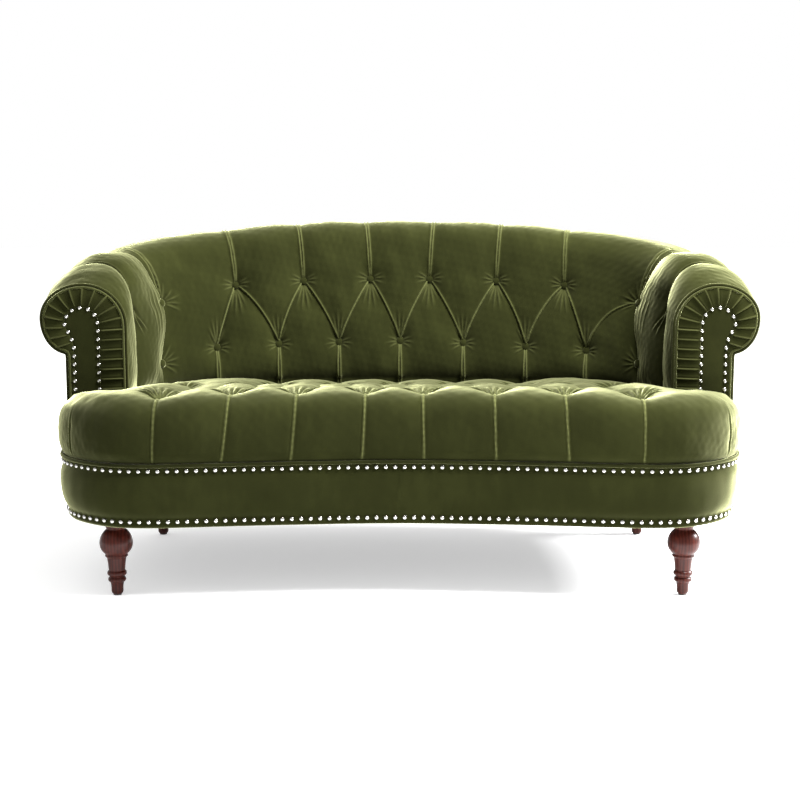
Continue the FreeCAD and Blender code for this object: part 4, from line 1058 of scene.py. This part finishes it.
def cord_path(inset, y, sg, rounds=4):
    p = facing_outline(inset)
    p = resample(p, step=6.0)
    for _ in range(rounds):
        p[1:-1] = p[1:-1] * 0.5 + 0.25 * (p[:-2] + p[2:])
    p = resample(p, step=3.0)
    return np.column_stack([sg * p[:, 0], np.full(len(p), y), p[:, 1]])


arch_nails = resample(nail_arch(0.0), step=0.5)
s = arc_len(arch_nails)
n_n = int(round((s[-1] - 52.0) / 19.4))
tn = np.linspace(26.0, s[-1] - 26.0, n_n + 1)
ARM_NAILS = np.stack([np.interp(tn, s, arch_nails[:, 0]), np.interp(tn, s, arch_nails[:, 1])], 1)


# ---------------------------------------------------------------- outside panels
def outside_piece(name, u0, u1):
    n = int(max(30, abs(u1 - u0) * 40))
    u = np.linspace(u0, u1, n)
    ix, iy, ox, oy = IX(u), IY(u), OX(u), OY(u)
    d = unit(np.column_stack([ox - ix, oy - iy]))
    T = np.hypot(ox - ix, oy - iy)
    top = ZT(u) - BO(u) - BC(u) + 4.0
    v = np.linspace(0, 1, 60)
    Z = 315.0 + (top[None, :] - 315.0) * v[:, None]
    ends = np.minimum(np.abs(u - u0), np.abs(u - u1))[None, :] * 110.0
    ed = np.minimum(np.minimum(v[:, None] * 200, (1 - v[:, None]) * 200), ends)
    crown = 5.5 * (1 - np.exp(-ed / 28.0)) - 1.0
    crown = crown + 0.5 * noise2(u[None, :] * 120 + 0 * Z, Z, 41, 140.0)
    N = T[None, :] + crown
    F = np.stack([ix[None, :] + d[None, :, 0] * N, iy[None, :] + d[None, :, 1] * N, Z], -1)
    one = np.ones_like(Z)
    B = np.stack([(ix + d[:, 0] * (T - 5.0))[None, :] * one, (iy + d[:, 1] * (T - 5.0))[None, :] * one, Z], -1)
    B = B[np.ix_(np.arange(0, 60, 59), np.unique(np.append(np.arange(0, n, 6), n - 1)))]
    return closed_pad(name, F[:, ::-1], B[:, ::-1])


# ---------------------------------------------------------------- materials
def new_mat(name):
    m = bpy.data.materials.new(name)
    m.use_nodes = True
    nt = m.node_tree
    for n in list(nt.nodes):
        nt.nodes.remove(n)
    out = nt.nodes.new("ShaderNodeOutputMaterial")
    b = nt.nodes.new("ShaderNodeBsdfPrincipled")
    nt.links.new(b.outputs["BSDF"], out.inputs["Surface"])
    return m, nt, b


def add(nt, kind, **vals):
    n = nt.nodes.new(kind)
    for k, v in vals.items():
        if k in n.inputs:
            n.inputs[k].default_value = v
        else:
            setattr(n, k, v)
    return n


def coords(nt, scale=(1, 1, 1)):
    c = nt.nodes.new("ShaderNodeTexCoord")
    m = nt.nodes.new("ShaderNodeMapping")
    m.inputs["Scale"].default_value = scale
    nt.links.new(c.outputs["Object"], m.inputs["Vector"])
    return m.outputs["Vector"]


def ramp(nt, src, stops):
    r = nt.nodes.new("ShaderNodeValToRGB")
    el = r.color_ramp.elements
    el[0].position, el[0].color = stops[0][0], (*stops[0][1], 1)
    el[1].position, el[1].color = stops[-1][0], (*stops[-1][1], 1)
    for p, c in stops[1:-1]:
        e = el.new(p)
        e.color = (*c, 1)
    nt.links.new(src, r.inputs["Fac"])
    return r.outputs["Color"]


def velvet(name, base=(0.0082, 0.0091, 0.0026), sheen=1.0, tint=(0.60, 0.615, 0.33), rough=0.33):
    """Short dense pile: dark seen straight on, light at grazing angles from the sheen, with a painted
    highlight on the fold crests and faint brushed patches where the pile lies differently."""
    m, nt, b = new_mat(name)
    v = coords(nt)
    big = add(nt, "ShaderNodeTexNoise", Scale=7.0, Detail=3.0, Roughness=0.5)
    nt.links.new(v, big.inputs["Vector"])
    streak_v = coords(nt, (26.0, 26.0, 9.0))
    st = add(nt, "ShaderNodeTexNoise", Scale=2.2, Detail=4.0, Roughness=0.55)
    nt.links.new(streak_v, st.inputs["Vector"])
    fine = add(nt, "ShaderNodeTexNoise", Scale=520.0, Detail=2.0, Roughness=0.6)
    nt.links.new(v, fine.inputs["Vector"])
    mix1 = add(nt, "ShaderNodeMath", operation="MULTIPLY_ADD")
    nt.links.new(st.outputs["Fac"], mix1.inputs[0])
    mix1.inputs[1].default_value = 0.5
    nt.links.new(big.outputs["Fac"], mix1.inputs[2])
    mix2 = add(nt, "ShaderNodeMath", operation="MULTIPLY_ADD")
    nt.links.new(fine.outputs["Fac"], mix2.inputs[0])
    mix2.inputs[1].default_value = 0.22
    nt.links.new(mix1.outputs["Value"], mix2.inputs[2])
    lo = tuple(c * 0.84 for c in base)
    hi = tuple(c * 1.18 for c in base)
    col = ramp(nt, mix2.outputs["Value"], [(0.55, lo), (0.86, base), (1.15, hi)])
    # painted highlight: where the point attribute is set, the base colour is mixed towards a lighter olive on the fold
    # crests
    at = add(nt, "ShaderNodeAttribute", attribute_name="painted_highlight")
    crest = add(nt, "ShaderNodeMix", data_type="RGBA")
    nt.links.new(at.outputs["Fac"], crest.inputs[0])
    for sock in crest.inputs:
        if sock.type == "RGBA" and sock.name == "A":
            nt.links.new(col, sock)
        if sock.type == "RGBA" and sock.name == "B":
            sock.default_value = (0.085, 0.091, 0.034, 1)
    res = [o for o in crest.outputs if o.type == "RGBA"][0]
    nt.links.new(res, b.inputs["Base Color"])
    b.inputs["Roughness"].default_value = 0.86
    b.inputs["Specular IOR Level"].default_value = 0.0
    b.inputs["Sheen Weight"].default_value = sheen
    b.inputs["Sheen Roughness"].default_value = rough
    b.inputs["Sheen Tint"].default_value = (*tint, 1)
    bp = add(nt, "ShaderNodeBump", Strength=0.35, Distance=0.0006)
    nt.links.new(fine.outputs["Fac"], bp.inputs["Height"])
    bp2 = add(nt, "ShaderNodeBump", Strength=0.07, Distance=0.002)
    nt.links.new(st.outputs["Fac"], bp2.inputs["Height"])
    nt.links.new(bp.outputs["Normal"], bp2.inputs["Normal"])
    nt.links.new(bp2.outputs["Normal"], b.inputs["Normal"])
    return m


def metal(name, colour, rough, scale=180.0):
    m, nt, b = new_mat(name)
    v = coords(nt)
    n = add(nt, "ShaderNodeTexNoise", Scale=scale, Detail=3.0)
    nt.links.new(v, n.inputs["Vector"])
    col = ramp(nt, n.outputs["Fac"], [(0.3, tuple(c * 0.86 for c in colour)), (0.7, colour)])
    nt.links.new(col, b.inputs["Base Color"])
    r = add(nt, "ShaderNodeMapRange")
    r.inputs["To Min"].default_value = rough * 0.8
    r.inputs["To Max"].default_value = rough * 1.4
    nt.links.new(n.outputs["Fac"], r.inputs["Value"])
    nt.links.new(r.outputs["Result"], b.inputs["Roughness"])
    b.inputs["Metallic"].default_value = 1.0
    return m


def wood(name, dark, light, rough, coat, scale=(40.0, 40.0, 4.0)):
    m, nt, b = new_mat(name)
    v = coords(nt, scale)
    n = add(nt, "ShaderNodeTexNoise", Scale=1.6, Detail=6.0, Roughness=0.6, Distortion=0.7)
    nt.links.new(v, n.inputs["Vector"])
    w = add(nt, "ShaderNodeTexWave", Scale=1.1, Distortion=6.0, Detail=3.0)
    nt.links.new(v, w.inputs["Vector"])
    mx = add(nt, "ShaderNodeMath", operation="MULTIPLY_ADD")
    nt.links.new(w.outputs["Fac"], mx.inputs[0])
    mx.inputs[1].default_value = 0.35
    nt.links.new(n.outputs["Fac"], mx.inputs[2])
    col = ramp(nt, mx.outputs["Value"], [(0.4, dark), (0.95, light)])
    nt.links.new(col, b.inputs["Base Color"])
    b.inputs["Roughness"].default_value = rough
    b.inputs["Coat Weight"].default_value = coat
    b.inputs["Coat Roughness"].default_value = 0.12
    b.inputs["Specular IOR Level"].default_value = 0.10
    bp = add(nt, "ShaderNodeBump", Strength=0.08, Distance=0.0004)
    nt.links.new(n.outputs["Fac"], bp.inputs["Height"])
    nt.links.new(bp.outputs["Normal"], b.inputs["Normal"])
    return m


def woven(name, dark, light, scale, rough=0.9):
    m, nt, b = new_mat(name)
    v = coords(nt)
    ck = add(nt, "ShaderNodeTexWave", Scale=scale, Distortion=0.6, Detail=1.0)
    nt.links.new(v, ck.inputs["Vector"])
    n = add(nt, "ShaderNodeTexNoise", Scale=scale * 0.4, Detail=4.0)
    nt.links.new(v, n.inputs["Vector"])
    mx = add(nt, "ShaderNodeMath", operation="MULTIPLY_ADD")
    nt.links.new(ck.outputs["Fac"], mx.inputs[0])
    mx.inputs[1].default_value = 0.4
    nt.links.new(n.outputs["Fac"], mx.inputs[2])
    col = ramp(nt, mx.outputs["Value"], [(0.35, dark), (0.9, light)])
    nt.links.new(col, b.inputs["Base Color"])
    b.inputs["Roughness"].default_value = rough
    bp = add(nt, "ShaderNodeBump", Strength=0.4, Distance=0.0006)
    nt.links.new(mx.outputs["Value"], bp.inputs["Height"])
    nt.links.new(bp.outputs["Normal"], b.inputs["Normal"])
    return m


M_VELVET = velvet("velvet_olive")
# a lighter copy of the same velvet for the inner cords of the arm facings: painted highlight
M_LIP_PAINTED_LIGHT = velvet("velvet_lip_painted_light", base=(0.019, 0.0208, 0.0070))
M_CORD = velvet("velvet_cord", base=(0.0075, 0.0083, 0.0024))
M_NICKEL = metal("polished_nickel", (0.34, 0.335, 0.32), 0.20)
M_STEEL = metal("spring_steel", (0.42, 0.42, 0.43), 0.35)
M_ZINC = metal("zinc_plate", (0.66, 0.66, 0.64), 0.32)
M_FOOT = wood("dark_mahogany", (0.015, 0.0028, 0.0017), (0.040, 0.0080, 0.0048), 0.34, 0.02)
M_FRAME = wood("frame_beech", (0.36, 0.22, 0.11), (0.62, 0.43, 0.25), 0.6, 0.0, (6.0, 40.0, 40.0))
M_FOAM = woven("foam_cream", (0.62, 0.56, 0.40), (0.80, 0.75, 0.60), 900.0)
M_FELT = woven("felt_grey", (0.22, 0.22, 0.21), (0.40, 0.39, 0.37), 420.0)
M_WEB = woven("webbing_jute", (0.30, 0.22, 0.12), (0.56, 0.44, 0.28), 300.0)
M_DUST = woven("dust_cloth_black", (0.006, 0.006, 0.006), (0.022, 0.022, 0.022), 600.0)
M_NYLON = woven("nylon_dark", (0.015, 0.013, 0.012), (0.04, 0.035, 0.03), 200.0, 0.5)


# ---------------------------------------------------------------- pieces
def place_piece(ob, mat, nodes=()):
    ob.data.materials.clear()
    ob.data.materials.append(mat)
    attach(ob, "root")
    if nodes:
        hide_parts(*nodes)
    return ob


place_piece(shell_piece("inside_back_pad", -C_SEAM, C_SEAM), M_VELVET, ("inside_back_cover", "inside_back_foam"))
place_piece(shell_piece("inside_arm_pad_right", C_SEAM, C_END), M_VELVET, ("inside_arm_cover_right", "inside_arm_foam_right"))
place_piece(shell_piece("inside_arm_pad_left", -C_END, -C_SEAM), M_VELVET, ("inside_arm_cover_left", "inside_arm_foam_left"))
place_piece(seat_piece("seat_pad"), M_VELVET, ("seat_cover", "seat_foam"))
bo = make_mesh("base_band_padded", band_all.reshape(-1, 3), grid_faces(len(band_all), len(BL), wrap_r=True, wrap_c=True))
place_piece(bo, M_VELVET, ("base_band",))
wl = band_outline(BL, BN, 305.0, 1.5)
wl[:, 2] = 309.2
place_piece(tube_ring("seat_piping", wl, 4.0), M_CORD, ("seat_welt",))
for side, sg in (("right", 1), ("left", -1)):
    place_piece(border_piece("arm_ruched_border_" + side, sg), M_VELVET, ("arm_facing_border_" + side,))
    place_piece(panel_piece("arm_panel_" + side, sg), M_VELVET, ("arm_facing_panel_" + side,))
    place_piece(tube_ring("arm_piping_" + side, cord_path(-1.9, -121.6, sg, 1), 3.6, closed=False), M_VELVET, ("arm_facing_welt_" + side,))
    # inner cord in the lighter velvet copy, a painted highlight
    place_piece(tube_ring("arm_piping_inner_" + side, cord_path(4.2, -124.6, sg), 2.9, closed=False), M_LIP_PAINTED_LIGHT)
    place_piece(scatter("arm_nails_" + side, NAIL, [((sg * x, -123.4, z), (0, -1, 0)) for x, z in ARM_NAILS], 0.7), M_NICKEL, ("arm_nailheads_" + side,))
    ends = (5.606, 7.93) if sg > 0 else (-7.93, -5.606)
    place_piece(outside_piece("outside_arm_" + side, *ends), M_VELVET, ("outside_arm_cover_" + side,))
place_piece(outside_piece("outside_back", -5.6, 5.6), M_VELVET, ("outside_back_cover",))
sites = [(p, n) for q, nn in nail_sites for p, n in zip(q, nn)]
place_piece(scatter("base_nails", NAIL, sites, 0.7), M_NICKEL, ("base_nailheads",))


def shell_sites(cells):
    out = []
    for r, c in cells:
        p = bilinear(SHELL, np.array([r]), np.array([c]))[0]
        n = bilinear(SN, np.array([r]), np.array([c]))[0]
        out.append((p + n * 1.5, n))
    return out


place_piece(scatter("back_buttons", BUTTON, shell_sites(back_cells), 0.4), M_VELVET, ("buttons_inside_back",))
place_piece(scatter("arm_buttons", BUTTON, shell_sites(arm_cells), 0.4), M_VELVET, ("buttons_arms",))
ss = []
flat = SEATV[NW - 40:].reshape(-1, 3)
for x, y in seat_dips:
    k = int(np.argmin((flat[:, 0] - x) ** 2 + (flat[:, 1] - y) ** 2))
    ss.append((flat[k] + np.array([0, 0, 1.0]), (0, 0, 1)))
place_piece(scatter("seat_buttons", BUTTON, ss, 0.4), M_VELVET, ("buttons_seat",))

FOOT_PROFILE = [(9.8, 3.0), (12.4, 6.0), (13.4, 14.0), (14.6, 27.0), (15.6, 31.0),
                (19.0, 33.0), (20.2, 36.5), (19.2, 40.0), (16.4, 42.5),
                (17.5, 44.5), (21.0, 47.5), (21.8, 51.0), (21.0, 54.5), (18.2, 57.5),
                (18.6, 62.0), (19.6, 72.0), (21.2, 84.0), (21.8, 87.6),
                (25.0, 89.6), (25.8, 91.6), (25.0, 93.6), (24.2, 95.0),
                (29.5, 100.0), (34.2, 107.0), (36.6, 115.0), (37.2, 122.0), (36.0, 130.0),
                (32.4, 139.0), (27.0, 146.5), (22.0, 151.5), (21.2, 153.5), (22.6, 156.0), (22.6, 181.7)]
runs = [(0, 5), (4, 9), (8, 14), (13, 18), (17, 22), (21, 30), (29, 32)]
fp = [(0.0, 3.0)]
for a0, b0 in runs:
    seg = np.array(FOOT_PROFILE[a0:b0], float)
    t = arc_len(seg)
    fr, fz = nspline(t, seg[:, 0]), nspline(t, seg[:, 1])
    q = np.linspace(0, t[-1], max(8, int(t[-1] / 1.3)))
    fp += list(zip(fr(q), fz(q)))[(0 if a0 == 0 else 1):]
fp += [(22.6, 181.7), (0.0, 181.7)]
FOOT = lathe(fp, 72)
for nm, (x, y) in {"front_right": (637.0, -321.5), "front_left": (-637.0, -321.5), "rear_right": (628.0, 270.0), "rear_left": (-628.0, 270.0)}.items():
    place_piece(scatter("turned_foot_" + nm, FOOT, [((x, y, 0.0), (0, 0, 1))]), M_FOOT, ("foot_" + nm,))

# carried-over pieces of the frame
for name, ob in NODES.items():
    if ob.hide_render:
        continue
    if name.startswith("frame_") and name != "frame_block_screws":
        mat = M_FRAME
    elif name in ("frame_block_screws", "foot_hanger_bolts", "foot_t_nuts", "spring_clips"):
        mat = M_ZINC
    elif name == "seat_springs":
        mat = M_STEEL
    elif name == "back_webbing":
        mat = M_WEB
    elif name == "seat_insulator_felt":
        mat = M_FELT
    elif name == "foot_glides":
        mat = M_NYLON
    elif name == "dust_cover":
        mat = M_DUST
    else:
        mat = M_FOAM
    ob.data.materials.clear()
    ob.data.materials.append(mat)

# ---------------------------------------------------------------- stage, light, camera
scene = bpy.context.scene
bpy.ops.mesh.primitive_plane_add(size=40.0, location=(0, 0, 0))
floor = bpy.context.object
floor.name = "studio_floor"
fm, fnt, fb = new_mat("floor_pale")
fn = add(fnt, "ShaderNodeTexNoise", Scale=3.0, Detail=2.0)
fnt.links.new(coords(fnt), fn.inputs["Vector"])
fnt.links.new(ramp(fnt, fn.outputs["Fac"], [(0.3, (0.80, 0.80, 0.80)), (0.7, (0.83, 0.83, 0.83))]), fb.inputs["Base Color"])
fb.inputs["Roughness"].default_value = 0.9
fb.inputs["Emission Color"].default_value = (1, 1, 1, 1)
fb.inputs["Emission Strength"].default_value = 0.42
fb.inputs["Specular IOR Level"].default_value = 0.1
floor.data.materials.append(fm)

world = bpy.data.worlds.new("studio_world")
scene.world = world
world.use_nodes = True
wb = world.node_tree.nodes["Background"]
wb.inputs["Color"].default_value = (1.0, 1.0, 1.0, 1)
wb.inputs["Strength"].default_value = 1.0


def area(name, loc, target, size, power, colour=(1, 1, 1)):
    d = bpy.data.lights.new(name, "AREA")
    d.shape = "RECTANGLE"
    d.size, d.size_y = size
    d.energy = power
    d.color = colour
    o = bpy.data.objects.new(name, d)
    scene.collection.objects.link(o)
    o.location = loc
    o.rotation_euler = (Vector(target) - Vector(loc)).to_track_quat("-Z", "Y").to_euler()
    return o


area("key", (3.0, 0.3, 1.5), (-0.6, 0.0, 0.7), (0.8, 0.8), 420)
area("top", (1.2, -0.5, 2.6), (-0.3, 0, 0.6), (1.6, 1.2), 640)

cam_d = bpy.data.cameras.new("photo_camera")
cam_d.sensor_width = 36.0
cam_d.lens = 66.0
cam = bpy.data.objects.new("photo_camera", cam_d)
scene.collection.objects.link(cam)
cam.location = (0.0, -3.5365, 0.899)
cam.rotation_euler = (math.radians(90 - 8.07), 0, 0)
scene.camera = cam
scene.view_settings.view_transform = "Standard"
scene.view_settings.look = "None"

bpy.context.view_layer.update()
